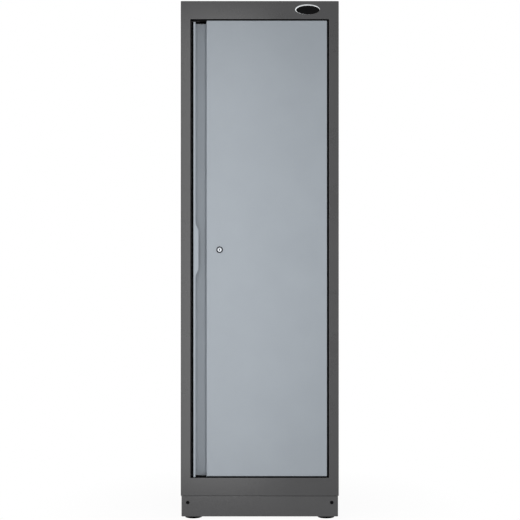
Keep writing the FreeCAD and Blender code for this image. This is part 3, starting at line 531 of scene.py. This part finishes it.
print("ten millimetres of a 1.5 mm thread take", len(thread_rings(5, 1.5, 0, 10)), "rings")

# %% Threaded studs
stud_low, stud_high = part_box("front_left_foot_stud")
flats = (stud_high.y - stud_low.y) / mm
stud_foot, stud_tip = stud_low.z / mm, stud_high.z / mm
thread_radius, thread_pitch, swivel_radius = 5.0, 1.5, 6.0
collar_low, collar_high = 9.2, 19.8
bevel = math.tan(math.radians(30))
hexagon = six_sided(flats)
stud_profile = [
    (0, stud_foot), (swivel_radius - 0.7, stud_foot), (swivel_radius, stud_foot + 0.7), (swivel_radius, collar_low),
    (flats / 2 - 0.2, collar_low), (hexagon, chamfered(flats, collar_low + 0.2, -bevel)),
    (hexagon, chamfered(flats, collar_high - 0.2, bevel)), (flats / 2 - 0.2, collar_high), (4.1, collar_high),
]
stud_profile += thread_rings(thread_radius, thread_pitch, collar_high + 1.0, stud_tip - 0.6)
stud_profile += [(3.6, stud_tip), (0, stud_tip)]
for corner in corners:
    foot = middle(corner + "_foot_stud")
    shape = bmesh.new()
    turn(shape, stud_profile, Matrix.Translation((foot.x, foot.y, 0)), steps=36)
    new_piece(corner + "_threaded_stud", shape, corner + "_stud", "zinc_plated_steel", [corner + "_foot_stud"])
print("studs with", round((stud_tip - collar_high) / thread_pitch), "turns of thread")

# %% [markdown]
# ## Lock
# From the front a cam lock is a dark ring, a bright face and a small keyhole. The ring's lip reaches a little way in
# over the lock's barrel, as a pressed ring does. A hole in polished metal still mirrors the room, so the keyway's
# walls get a dull black finish of their own: painted shade, for the shade deep in the slot. The slot is one more
# radius that depends on the angle, this time for the plug's inner rings.

# %% Ring round the lock
ring_low, ring_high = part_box("lock_bezel")
ring_front = Vector((middle("lock_bezel").x, ring_low.y, middle("lock_bezel").z))
outer = (ring_high.x - ring_low.x) / 2 / mm
inner = (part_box("lock_body")[1].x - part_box("lock_body")[0].x) / 2 / mm
ring_depth = (ring_high.y - ring_low.y) / mm
face_radius = 8.1
lip = (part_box("lock_body")[0].y - ring_low.y) / mm - 0.02
ring_profile = [
    (face_radius, lip), (face_radius, lip - 0.15), (face_radius + 0.4, 0.0), (outer - 1.5, 0.1),
    (outer - 0.7, 0.5), (outer - 0.2, 1.2), (outer, 2.0), (outer, ring_depth), (inner, ring_depth), (inner, lip),
]
shape = bmesh.new()
turn(shape, ring_profile, along(inward, ring_front), steps=72, closed=True)
new_piece("lock_ring", shape, "door", "dark_bezel", ["lock_bezel"])
print("lock ring", round(2 * outer, 1), "mm across")

# %% Keyway
slot_half_width, slot_half_height = 1.6, 3.7
keyway_depth = 14.0


def keyway(angle):
    """The radius of an upright slot with round ends."""
    across, up = abs(math.cos(angle)), abs(math.sin(angle))
    straight = slot_half_height - slot_half_width
    if across * straight >= up * slot_half_width:
        return slot_half_width / across
    return straight * up + math.sqrt(max(0.0, slot_half_width ** 2 - (straight * across) ** 2))


print("keyway", 2 * slot_half_width, "by", 2 * slot_half_height, "mm")

# %% Plug with its keyway
plug_low, plug_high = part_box("lock_plug")
plug_front = Vector((ring_front.x, plug_low.y, ring_front.z))
plug_radius = (plug_high.x - plug_low.x) / 2 / mm
plug_length = (plug_high.y - plug_low.y) / mm
screw_radius = (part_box("lock_cam_screw")[1].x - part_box("lock_cam_screw")[0].x) / 2 / mm
boss_radius = screw_radius - 0.5
boss_start = plug_length - 3.0
plug_profile = [
    (0, plug_length), (boss_radius, plug_length), (boss_radius, boss_start), (plug_radius, boss_start),
    (plug_radius, 0.4), (plug_radius - 0.4, 0.0), (lambda angle: keyway(angle) + 0.4, 0.0), (keyway, 0.4),
    (keyway, keyway_depth), (0, keyway_depth),
]
shape = bmesh.new()
bands = turn(shape, plug_profile, along(inward, plug_front), steps=96)
# the last three bands are the keyway's rounded mouth, its walls and its end, black as painted shade
for band in bands[-3:]:
    for face in band:
        face.material_index = 1
new_piece("keyed_plug", shape, "lock_core", "polished_chrome", ["lock_plug"], inner_slot="black_steel")
print("plug", round(2 * plug_radius, 1), "mm across, keyway", keyway_depth, "mm deep")

# %% [markdown]
# Behind the door the lock is held by a flat nut, and its cam by a screw with a cross recess. Both are seen only when
# the door is open, but they are what makes the inside look like a lock rather than a stack of discs.

# %% Lock nut
nut_low, nut_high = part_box("lock_nut")
nut_flats = (nut_high.z - nut_low.z) / mm
nut_depth = (nut_high.y - nut_low.y) / mm
nut_start = Vector((ring_front.x, nut_low.y, ring_front.z))
nut_outline = six_sided(nut_flats)
bore = inner + 0.02
nut_profile = [
    (bore, 0.0), (nut_outline, 0.0), (nut_outline, chamfered(nut_flats, nut_depth - 0.2, bevel)),
    (nut_flats / 2 - 0.3, nut_depth), (inner + 0.7, nut_depth), (bore, nut_depth - 0.6),
]
shape = bmesh.new()
turn(shape, nut_profile, along(inward, nut_start), steps=72, closed=True)
new_piece("chamfered_lock_nut", shape, "door", "zinc_plated_steel", ["lock_nut"])
print("lock nut", round(nut_flats, 1), "mm over its flats")


# %% Cam screw
def cross(angle, reach=2.1, half_width=0.55, least=1e-6):
    """The radius of a cross recess."""
    across, up = max(abs(math.cos(angle)), least), max(abs(math.sin(angle)), least)
    lying = min(reach / across, half_width / up)
    standing = min(half_width / across, reach / up)
    return max(lying, standing)


screw_low, screw_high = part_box("lock_cam_screw")
screw_start = Vector((ring_front.x, screw_low.y, ring_front.z))
screw_rise = (screw_high.y - screw_low.y) / mm
screw_profile = [
    (0, 0.0), (screw_radius, 0.0), (screw_radius, 0.9), (screw_radius - 0.3, 1.7), (screw_radius - 1.1, 2.5),
    (screw_radius - 2.0, screw_rise), (cross, screw_rise), (cross, screw_rise - 1.6), (0, screw_rise - 1.9),
]
shape = bmesh.new()
turn(shape, screw_profile, along(inward, screw_start), steps=96)
new_piece("cross_head_cam_screw", shape, "lock_core", "zinc_plated_steel", ["lock_cam_screw"])
print("cam screw with a head of", round(2 * screw_radius, 1), "mm")

# %% [markdown]
# ## Plate on the header
# The header carries a small oval plate, left blank here. Its rim is rounded, so it draws a bright line. The line is
# wide at the upper left and all but gone at the lower right, because the black field inside sits off its middle and
# covers the rim there: a painted dark reflection. The field is slightly domed, which keeps it from looking like a
# sticker.


# %% Ovals
def oval(length, width, right=0.0, up=0.0):
    """The radius at an angle of an oval whose middle lies off the axis, to the right and up."""
    half_length, half_width = length / 2, width / 2
    off_x, off_y = right / half_length, up / half_width

    def radius(angle):
        x, y = math.cos(angle) / half_length, math.sin(angle) / half_width
        lead, square = x * off_x + y * off_y, x * x + y * y
        return (lead + math.sqrt(lead * lead + square * (1 - off_x ** 2 - off_y ** 2))) / square

    return radius


print("an oval of 60 by 30 mm reaches", oval(60, 30)(0), "mm to the right")

# %% Rim of the plate
rim_low, rim_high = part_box("header_plate_rim")
plate_back = Vector((middle("header_plate_rim").x, rim_high.y, middle("header_plate_rim").z))
plate_length, plate_width = (rim_high.x - rim_low.x) / mm, (rim_high.z - rim_low.z) / mm
# the field lies low and to the right, over the rim's lower right: a painted dark reflection
field_right, field_up = 1.5, -2.2
rim_width = 3.0
# across the rim, as a share of its width, and up from the header in mm
rim_section = [
    (0.0, 0.0), (0.0, 0.7), (0.1, 1.3), (0.3, 1.85), (0.5, 2.0), (0.7, 1.85), (0.9, 1.3), (1.0, 0.7), (1.0, 0.0),
]
shape = bmesh.new()
rings = []
for share, rise in rim_section:
    inset = 2 * rim_width * share
    rings.append((oval(plate_length - inset, plate_width - inset, field_right * share, field_up * share), rise))
turn(shape, rings, along(outward, plate_back), steps=128, closed=True)
new_piece("plate_rim", shape, "carcass", "satin_chrome", ["header_plate_rim"])
print("plate", round(plate_length, 1), "by", round(plate_width, 1), "mm")

# %% Domed field of the plate
field_length, field_width = plate_length - 2 * rim_width, plate_width - 2 * rim_width
field_back = plate_back + Vector((field_right, 0, field_up)) * mm
dome = 1.2
# out from the field's middle, as a share of its size, and up from the header in mm
field_section = [(0.3, 1.18), (0.6, 1.12), (0.8, 1.02), (0.93, 0.9), (1.0, 0.7), (1.0, 0.0)]
rings = [(oval(field_length * share, field_width * share), rise) for share, rise in field_section]
shape = bmesh.new()
turn(shape, [(0, dome)] + rings + [(0, 0.0)], along(outward, field_back), steps=128)
new_piece("plate_field", shape, "carcass", "plate_enamel", ["header_plate"])
print("field", round(field_length, 1), "by", round(field_width, 1), "mm")

# %% [markdown]
# ## Screws, rivets and buttons
# The plinth's cover is held by two black button-head screws with collars, the back panel by blind rivets, and the
# door closes on two rubber buttons. A rivet shows the hole that its pulled mandrel left, and a screw its socket.

# %% Plinth screws
low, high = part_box("plinth_screws")
collar = (high.z - low.z) / 2 / mm
length = (high.y - low.y) / mm
shank_radius, shank_pitch = 2.97, 1.0
socket = six_sided(4.0)
head_profile = [
    (0, 2.4), (socket, 2.2), (socket, 0.25), (lambda angle: socket(angle) + 0.25, 0.0), (3.1, 0.0), (3.9, 0.25),
    (4.7, 0.9), (5.1, 1.7), (5.25, 2.6), (5.5, 2.8), (collar - 0.5, 2.9), (collar - 0.1, 3.2), (collar, 3.6),
    (collar, 4.0), (shank_radius, 4.0),
]
head_profile += thread_rings(shank_radius, shank_pitch, 4.6, length - 0.4) + [(2.2, length), (0, length)]
shape = bmesh.new()
for side in (-1, 1):
    head = Vector((side * (high.x - collar * mm), low.y, middle("plinth_screws").z))
    turn(shape, head_profile, along(inward, head), steps=48)
new_piece("collared_plinth_screws", shape, "carcass", "black_steel", ["plinth_screws"])
print("plinth screws with collars of", round(2 * collar, 1), "mm")

# %% Blind rivets
low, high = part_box("back_panel_rivets")
rivet_head = 4.25
rivet_rows = 7
tail = (high.y - low.y) / mm
rivet_profile = [
    (0, 0.5), (1.2, 0.5), (1.3, 0.1), (2.2, 0.0), (2.8, 0.5), (3.0, 1.2), (2.8, 1.9), (2.0, 2.0), (2.0, tail - 2.0),
    (rivet_head, tail - 2.0), (rivet_head - 0.1, tail - 1.7), (rivet_head - 0.7, tail - 1.0),
    (rivet_head - 1.6, tail - 0.35), (2.0, tail), (1.5, tail), (1.25, tail - 0.25), (1.25, tail - 1.4),
    (0, tail - 1.4),
]
shape = bmesh.new()
for row in range(rivet_rows):
    height = low.z + rivet_head * mm + (high.z - low.z - 2 * rivet_head * mm) * row / (rivet_rows - 1)
    for side in (-1, 1):
        start = Vector((side * (high.x - rivet_head * mm), low.y, height))
        turn(shape, rivet_profile, along(inward, start), steps=32)
new_piece("blind_rivets", shape, "carcass", "aluminium", ["back_panel_rivets"])
print(2 * rivet_rows, "rivets")

# %% Rubber buttons
low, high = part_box("door_bumpers")
button = (high.x - low.x) / 2 / mm
rise = (high.y - low.y) / mm
button_profile = [
    (0, 0.0), (button, 0.0), (button, 1.2), (button - 0.7, 1.7), (button - 0.7, 2.3), (button - 0.2, 3.0),
    (button - 0.5, 4.2), (button - 1.4, 5.1), (button - 2.8, rise - 0.1), (0, rise),
]
shape = bmesh.new()
for height in (low.z + button * mm, high.z - button * mm):
    seat = Vector((middle("door_bumpers").x, high.y, height))
    turn(shape, button_profile, along(outward, seat), steps=40)
new_piece("rubber_buttons", shape, "carcass", "black_rubber", ["door_bumpers"])
print("buttons", round(2 * button, 1), "mm across")

# %% [markdown]
# ## Hinge pins
# The door turns on two pins, of which only the shoulder shows in the gap above and below it. In the photograph
# nothing shines there, so they are blackened steel. The end behind the frame is riveted over, which leaves a low
# dome.

# %% Turned hinge pins
pin_low, pin_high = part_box("upper_hinge_pin")
shoulder = (pin_high.x - pin_low.x) / 2 / mm
pin_length = (pin_high.z - pin_low.z) / mm
pin_radius = 4.0
pin_profile = [
    (0, 0.0), (3.6, 0.15), (5.0, 0.6), (5.8, 1.3), (6.0, 2.0), (pin_radius, 2.0), (pin_radius, 6.2),
    (shoulder - 0.2, 6.2), (shoulder, 6.4), (shoulder, 9.2), (shoulder - 0.4, 9.6), (pin_radius, 9.6),
    (pin_radius, pin_length - 1.0), (pin_radius - 1.0, pin_length), (0, pin_length),
]
pivot = middle("upper_hinge_pin")
for name, riveted_end, way in (("upper", pin_high.z, -1), ("lower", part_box("lower_hinge_pin")[0].z, 1)):
    shape = bmesh.new()
    start = Vector((pivot.x, pivot.y, riveted_end))
    turn(shape, pin_profile, along((0, 0, way), start), steps=40)
    new_piece(name + "_turned_pin", shape, "carcass", "black_steel", [name + "_hinge_pin"])
print("hinge pins", round(pin_length, 1), "mm long")

# %% [markdown]
# ## Magnet catches
# A magnet catch is a plastic box with a magnet held between two steel pole plates, screwed on at both ends. A box
# with bevelled edges would do from afar; here its outline is pulled forward and narrowed once, as a mould needs its
# draft, and the poles stand a little proud of it.


# %% A section pulled along a line
def skin(shape, loops):
    """Joins loops of points that have the same count, one after the other, and closes both ends."""
    for lower, upper in zip(loops, loops[1:]):
        for number in range(len(lower)):
            after = (number + 1) % len(lower)
            shape.faces.new([lower[number], lower[after], upper[after], upper[number]])
    shape.faces.new(loops[0])
    shape.faces.new(loops[-1])


def pull(shape, section, stations, across, up):
    """Pulls a flat section of (across, up) points in mm through stations of (place, size)."""
    loops = []
    for place, size in stations:
        loops.append([shape.verts.new(place + (across * u + up * v) * (size * mm)) for u, v in section])
    skin(shape, loops)


x_axis, y_axis, z_axis = Vector((1, 0, 0)), Vector(inward), Vector(upward)
sample = bmesh.new()
pull(sample, [(0, 0), (1, 0), (0, 1)], [(Vector(), 1.0), (z_axis, 1.0)], x_axis, y_axis)
print("a three-sided bar has", len(sample.faces), "faces")
sample.free()


# %% Outlines with round corners
def rounded(width, height, radius, arc=4):
    """The outline of a rectangle with round corners."""
    points = []
    for quarter, (x, y) in enumerate([(1, 1), (-1, 1), (-1, -1), (1, -1)]):
        for step in range(arc + 1):
            angle = math.pi / 2 * (quarter + step / arc)
            points.append((x * (width / 2 - radius) + radius * math.cos(angle),
                           y * (height / 2 - radius) + radius * math.sin(angle)))
    return points


print("an outline with round corners has", len(rounded(12, 46, 1.5)), "points")

# %% Catch bodies
low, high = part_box("magnet_catches")
catch_width = (high.x - low.x) / mm
catch_rise = (high.y - low.y) / mm
catch_length = 46.0
body_rise = catch_rise - 0.9
body_outline = rounded(catch_width, catch_length, 1.5)
# up from the door stop in mm, and how much of the full size is left there
narrowing = [(0.0, 1.0), (body_rise - 0.7, 1.0), (body_rise - 0.2, 0.985), (body_rise, 0.96)]
catch_seats = [
    Vector((middle("magnet_catches").x, high.y, height))
    for height in (low.z + catch_length / 2 * mm, high.z - catch_length / 2 * mm)
]
bodies = bmesh.new()
for seat in catch_seats:
    stations = [(seat - y_axis * (rise * mm), size) for rise, size in narrowing]
    pull(bodies, body_outline, stations, x_axis, z_axis)
new_piece("catch_bodies", bodies, "carcass", "black_plastic", ["magnet_catches"])
print("catches", round(catch_width), "by", round(catch_length), "mm")


# %% Poles and screws of the catches
def small_cross(angle):
    """The cross recess of a small screw."""
    return cross(angle, 1.4, 0.4)


pole_outline = rounded(1.6, 24.0, 0.5)
pole_off, pole_root = 2.6, 2.0
screw_off, screw_sunk = 17.5, 0.2
catch_screw = [
    (0, 0.0), (2.9, 0.0), (2.8, 0.4), (2.1, 0.85), (1.6, 0.95), (small_cross, 0.95), (small_cross, 0.3), (0, 0.2),
]
poles = bmesh.new()
for seat in catch_seats:
    for side in (-1, 1):
        pole = seat + x_axis * (side * pole_off * mm)
        ends = [(pole - y_axis * (rise * mm), 1.0) for rise in (pole_root, catch_rise)]
        pull(poles, pole_outline, ends, x_axis, z_axis)
        head = seat + z_axis * (side * screw_off * mm) - y_axis * (body_rise - screw_sunk) * mm
        turn(poles, catch_screw, along(outward, head), steps=48)
new_piece("catch_poles", poles, "carcass", "zinc_plated_steel")
print(2 * len(catch_seats), "poles and as many screws")

# %% [markdown]
# ## Grip channel
# The door has no handle: its free edge is folded into a finger channel, and the channel's lip widens into a pull tab
# beside the lock. The section of a folded sheet is one line with an arc at each fold, once for its inside and once
# for its outside. Lofting that section up the door, and changing only the lip's width on the way, gives the tab. A
# point on the flat just before and after each arc keeps the flats flat when the faces are shaded smoothly.

# %% Folds of the channel
channel_low, channel_high = (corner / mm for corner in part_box("grip_channel"))
# the gaps beside it and at its ends are wider in the photograph than in the CAD model
free_edge_trim, end_trim = 0.8, 2.0
channel_low += Vector((free_edge_trim, 0, end_trim))
channel_high -= Vector((0, 0, end_trim))
sheet = 1.0
front_fold = 1.6
finger_fold = 9.0
wall_set_back = 3.0
arc_steps = 8
edge_round = 0.3
beside_arc = 0.5
lip_rear = channel_low.y + sheet
wall_left, wall_right = channel_low.x + sheet, channel_high.x - sheet
floor_front = channel_high.y - sheet
# for each fold: its centre, its inside radius and the angle at which its arc starts
folds = [
    ((wall_left + front_fold, lip_rear + front_fold), front_fold, -90),
    ((wall_left + finger_fold, floor_front - finger_fold), finger_fold, 180),
    ((wall_right - finger_fold, floor_front - finger_fold), finger_fold, 90),
]
print("the channel has", len(folds), "folds of a", sheet, "mm sheet")


# %% Section of the channel
def channel_section(lip):
    """The outline of the folded sheet in plan, for a lip of this width."""
    inside, outside = [], []
    for (x, y), bend, first in folds:
        for step in range(-1, arc_steps + 2):
            angle = math.radians(first - 90 * min(max(step / arc_steps, 0), 1))
            past = beside_arc * ((step > arc_steps) - (step < 0))
            for face, radius in ((inside, bend), (outside, bend + sheet)):
                face.append((x + radius * math.cos(angle) + past * math.sin(angle),
                             y + radius * math.sin(angle) - past * math.cos(angle)))
    tip, wall_end = channel_low.x + lip, channel_low.y + wall_set_back
    lip_edge = [(tip - edge_round, lip_rear - sheet), (tip, lip_rear - sheet + edge_round),
                (tip, lip_rear - edge_round), (tip - edge_round, lip_rear)]
    wall_edge = [(wall_right, wall_end + edge_round), (wall_right + edge_round, wall_end),
                 (wall_right + sheet - edge_round, wall_end), (wall_right + sheet, wall_end + edge_round)]
    return lip_edge + inside + wall_edge + outside[::-1]


lip_width = 8.0
print("the channel's section has", len(channel_section(lip_width)), "points")

# %% Channel with its pull tab
tab_width = 19.8
tab_length = 206.0
tab_straight = 150.0
tab_middle = ring_front.z / mm
slant = (tab_length - tab_straight) / 2
# how far along the slant, and how much of the tab's width is reached there: its corners are rounded
slant_shares = [(0.0, 0.0), (0.06, 0.02), (0.16, 0.11), (0.84, 0.89), (0.94, 0.98), (1.0, 1.0)]

rising = [(tab_middle - tab_length / 2 + slant * up, wide) for up, wide in slant_shares]
falling = [(tab_middle + tab_length / 2 - slant * up, wide) for up, wide in slant_shares[::-1]]
stations = [(channel_low.z, 0.0)] + rising + falling + [(channel_high.z, 0.0)]
shape = bmesh.new()
loops = []
for height, wide in stations:
    section = channel_section(lip_width + (tab_width - lip_width) * wide)
    loops.append([shape.verts.new(Vector((x, y, height)) * mm) for x, y in section])
skin(shape, loops)
new_piece("folded_grip_channel", shape, "door", "door_powder_coat", ["grip_channel"])
print("grip channel with a pull tab", tab_length, "mm long at", round(tab_middle), "mm")

# %% [markdown]
# ## Door pan
# The door's face is a shallow pan: one sheet with its four edges folded back and then in, and open behind. The gaps
# round it are a little wider in the photograph than in the CAD model, so it is remade with its edges about a
# millimetre further in. A ring of points goes once round the door for each step of the folds, and joining the rings
# from the front face, over the rim, to the inner face gives a sheet with a real thickness.

# %% Size of the door pan
pan_low, pan_high = (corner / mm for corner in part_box("door_panel"))
foot_trim, top_trim, hinge_trim = 0.9, 0.4, 1.5
pan_low += Vector((0, 0, foot_trim))
pan_high -= Vector((hinge_trim, 0, top_trim))
pan_size = pan_high - pan_low
pan_middle = (pan_low + pan_high) / 2
print("door pan", round(pan_size.x, 1), "by", round(pan_size.z, 1), "mm")

# %% Rings round the door
return_width = 16.0
least_round = 0.3


def pan_face(off):
    """Steps of (inset, depth) from the front to the rim, on a face of the sheet this far off its outer one."""
    bend = front_fold + sheet - off
    angles = [math.pi / 2 * step / arc_steps for step in range(arc_steps + 1)]
    front = [(off + bend * (1 - math.sin(angle)), off + bend * (1 - math.cos(angle))) for angle in angles]
    front = [(off + bend + beside_arc, off)] + front + [(off, off + bend + beside_arc)]
    return front + [(inset, pan_size.y - depth) for inset, depth in front[::-1]]


rim = [(return_width - edge_round, pan_size.y), (return_width, pan_size.y - edge_round),
       (return_width, pan_size.y - sheet + edge_round), (return_width - edge_round, pan_size.y - sheet)]
pan = bmesh.new()
loops = []
for inset, depth in pan_face(0) + rim + pan_face(sheet)[::-1]:
    corner_round = max(front_fold + sheet - inset, least_round)
    outline = rounded(pan_size.x - 2 * inset, pan_size.z - 2 * inset, corner_round)
    spots = [Vector((pan_middle.x + x, pan_low.y + depth, pan_middle.z + z)) for x, z in outline]
    loops.append([pan.verts.new(spot * mm) for spot in spots])
skin(pan, loops)
print("the pan's folds take", len(loops), "rings")

# %% [markdown]
# The lock and the two hinge bushes pass through the sheet. Building faces round a hole by hand is tedious, so the
# holes are cut by the Boolean modifier, and its result is read back into the mesh.


# %% Cutting one mesh out of another
def cut_away(shape, cutters):
    """Cuts the shapes of one mesh out of another."""
    blanks = []
    for part in (shape, cutters):
        bmesh.ops.recalc_face_normals(part, faces=part.faces)
        mesh = bpy.data.meshes.new("blank")
        part.to_mesh(mesh)
        blanks.append(bpy.data.objects.new("blank", mesh))
        bpy.context.scene.collection.objects.link(blanks[-1])
    holes = blanks[0].modifiers.new("holes", "BOOLEAN")
    holes.object = blanks[1]
    cut = blanks[0].evaluated_get(bpy.context.evaluated_depsgraph_get())
    shape.clear()
    shape.from_mesh(bpy.data.meshes.new_from_object(cut))
    cutters.free()
    for blank in blanks:
        bpy.data.objects.remove(blank)


print("the pan has", len(pan.faces), "faces before it is cut")

# %% Holes for the lock and the bushes
bush_barrel = 5.5
# how far the drills start before the sheet and run on behind it
past = 5.0
lock_start = Vector((ring_front.x, (pan_low.y - past) * mm, ring_front.z))
pivot_start = Vector((pivot.x, pivot.y, (pan_low.z - past) * mm))
drills = bmesh.new()
for radius, length, direction, start in (
    (inner, 2 * past, inward, lock_start),
    (bush_barrel, pan_size.z + 2 * past, upward, pivot_start),
):
    turn(drills, [(0, 0), (radius, 0), (radius, length), (0, length)], along(direction, start), steps=64)
cut_away(pan, drills)
new_piece("folded_door_pan", pan, "door", "door_powder_coat", ["door_panel"])
print("holes of", round(2 * inner, 1), "and", 2 * bush_barrel, "mm in the door pan")

# %% [markdown]
# ## Black seal that paints the gaps' shade
# The gaps round the door look black, since they are in deep shade, although the frame is only dark grey. Strips of
# black foam rubber round the inside of the opening paint that shade in, since they reflect next to nothing. Each is a
# low bar with a crowned top, so one section is pulled along each side, clear of the hinge pins, the lock's rods and
# the low end of the grip channel.


# %% Strips of foam rubber
def crowned(width, rise):
    """A strip's section: flat below, round at the shoulders and slightly crowned."""
    half = width / 2
    return [(-half, 0.0), (half, 0.0), (half, 0.5 * rise), (half - 0.5, 0.85 * rise), (half / 2, rise),
            (-half / 2, rise), (-half + 0.5, 0.85 * rise), (-half, 0.5 * rise)]


def lay_strip(shape, section, start, end, across, up):
    """Lays a straight strip of one section from start to end."""
    pull(shape, section, [(Vector(start), 1.0), (Vector(end), 1.0)], across, up)


jamb_tape, stop_strip, corner_pad = crowned(37.0, 1.4), crowned(14.0, 2.4), crowned(17.0, 2.4)
# under the low end of the grip channel there is only room for a thin tape
cross_bar, sill_tape = crowned(19.0, 1.6), crowned(40.0, 0.7)
print("a strip's section has", len(stop_strip), "points")

# %% Places of the strips
end_room, bush_room = 2 * mm, 4 * mm
bar_set_back, stop_inset = 14 * mm, 9 * mm
# above the grip channel the whole stop shows, so a black pad covers its top corner as painted shade
pad_inset, pad_tall = 25.5 * mm, 32 * mm
jamb_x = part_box("sill_rail")[1].x
sill_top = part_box("sill_rail")[1].z
header_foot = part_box("top_panel")[0].z
stop_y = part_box("door_bumpers")[1].y
seal_low, seal_high = sill_top + end_room, header_foot - end_room
hinge_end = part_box("upper_hinge_bush")[0].x - bush_room
channel_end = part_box("grip_channel")[1].x + end_room
left_end = end_room - jamb_x
bar_y = front_y + bar_set_back
tape_y = (front_y + stop_y) / 2
stop_x = jamb_x - stop_inset
pad_x, pad_foot = pad_inset - jamb_x, seal_high - pad_tall
print("opening", round(2 * jamb_x / mm), "by", round((header_foot - sill_top) / mm), "mm")

# %% Black seal round the opening, as painted shade
shape = bmesh.new()
for side in (-1, 1):
    jamb, stop = side * jamb_x, side * stop_x
    lay_strip(shape, jamb_tape, (jamb, tape_y, seal_low), (jamb, tape_y, seal_high), y_axis, -side * x_axis)
    lay_strip(shape, stop_strip, (stop, stop_y, seal_low), (stop, stop_y, seal_high), x_axis, -y_axis)
lay_strip(shape, corner_pad, (pad_x, stop_y, pad_foot), (pad_x, stop_y, seal_high), x_axis, -y_axis)
lay_strip(shape, cross_bar, (channel_end, bar_y, sill_top), (hinge_end, bar_y, sill_top), y_axis, z_axis)
lay_strip(shape, cross_bar, (left_end, bar_y, header_foot), (hinge_end, bar_y, header_foot), y_axis, -z_axis)
lay_strip(shape, sill_tape, (left_end, tape_y, sill_top), (channel_end, tape_y, sill_top), y_axis, z_axis)
# black strips in the gaps and on the stop: painted shade
new_piece("black_seal_for_gap_shade", shape, "carcass", "black_rubber")
print("dust seal", round((seal_high - seal_low) / mm), "mm tall")

# %% [markdown]
# ## Marks of making
# The door's stiffener is spot-welded to its skin. Each weld leaves a shallow ring that still shows under the paint,
# and the rod guides are held by small pan-head screws. Such marks are cheap to add and tell how the door is made.

# %% Spot welds
weld_pitch = 142.0
stiffener_low, stiffener_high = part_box("door_stiffener")
flange, flange_sheet = 15.0, 1.0
flange_face = stiffener_low.y + flange_sheet * mm
weld_profile = [(0, 0.02), (1.7, 0.05), (2.3, 0.25), (2.9, 0.3), (3.5, 0.22), (4.0, 0.0), (0, -0.3)]
weld_count = int((stiffener_high.z - stiffener_low.z) / mm / weld_pitch)
shape = bmesh.new()
for x in (stiffener_low.x + flange / 2 * mm, stiffener_high.x - flange / 2 * mm):
    for number in range(weld_count):
        height = middle("door_stiffener").z + (number - (weld_count - 1) / 2) * weld_pitch * mm
        turn(shape, weld_profile, along(inward, Vector((x, flange_face, height))), steps=24)
new_piece("spot_welds", shape, "door", "door_powder_coat")
print(2 * weld_count, "spot welds")

# %% Guide screws
screw_inset, head_sunk = 4.0, 0.3
pan_head = [
    (0, 0.0), (2.7, 0.0), (2.7, 0.5), (2.3, 1.2), (1.6, 1.5), (small_cross, 1.5), (small_cross, 0.7), (0, 0.5),
]
shape = bmesh.new()
for guide in ("upper_rod_guide", "lower_rod_guide"):
    low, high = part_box(guide)
    for x in (low.x + screw_inset * mm, high.x - screw_inset * mm):
        head = Vector((x, high.y - head_sunk * mm, middle(guide).z))
        turn(shape, pan_head, along(inward, head), steps=48)
new_piece("guide_screws", shape, "door", "zinc_plated_steel")
print("guide screws", screw_inset, "mm from the guides' ends")
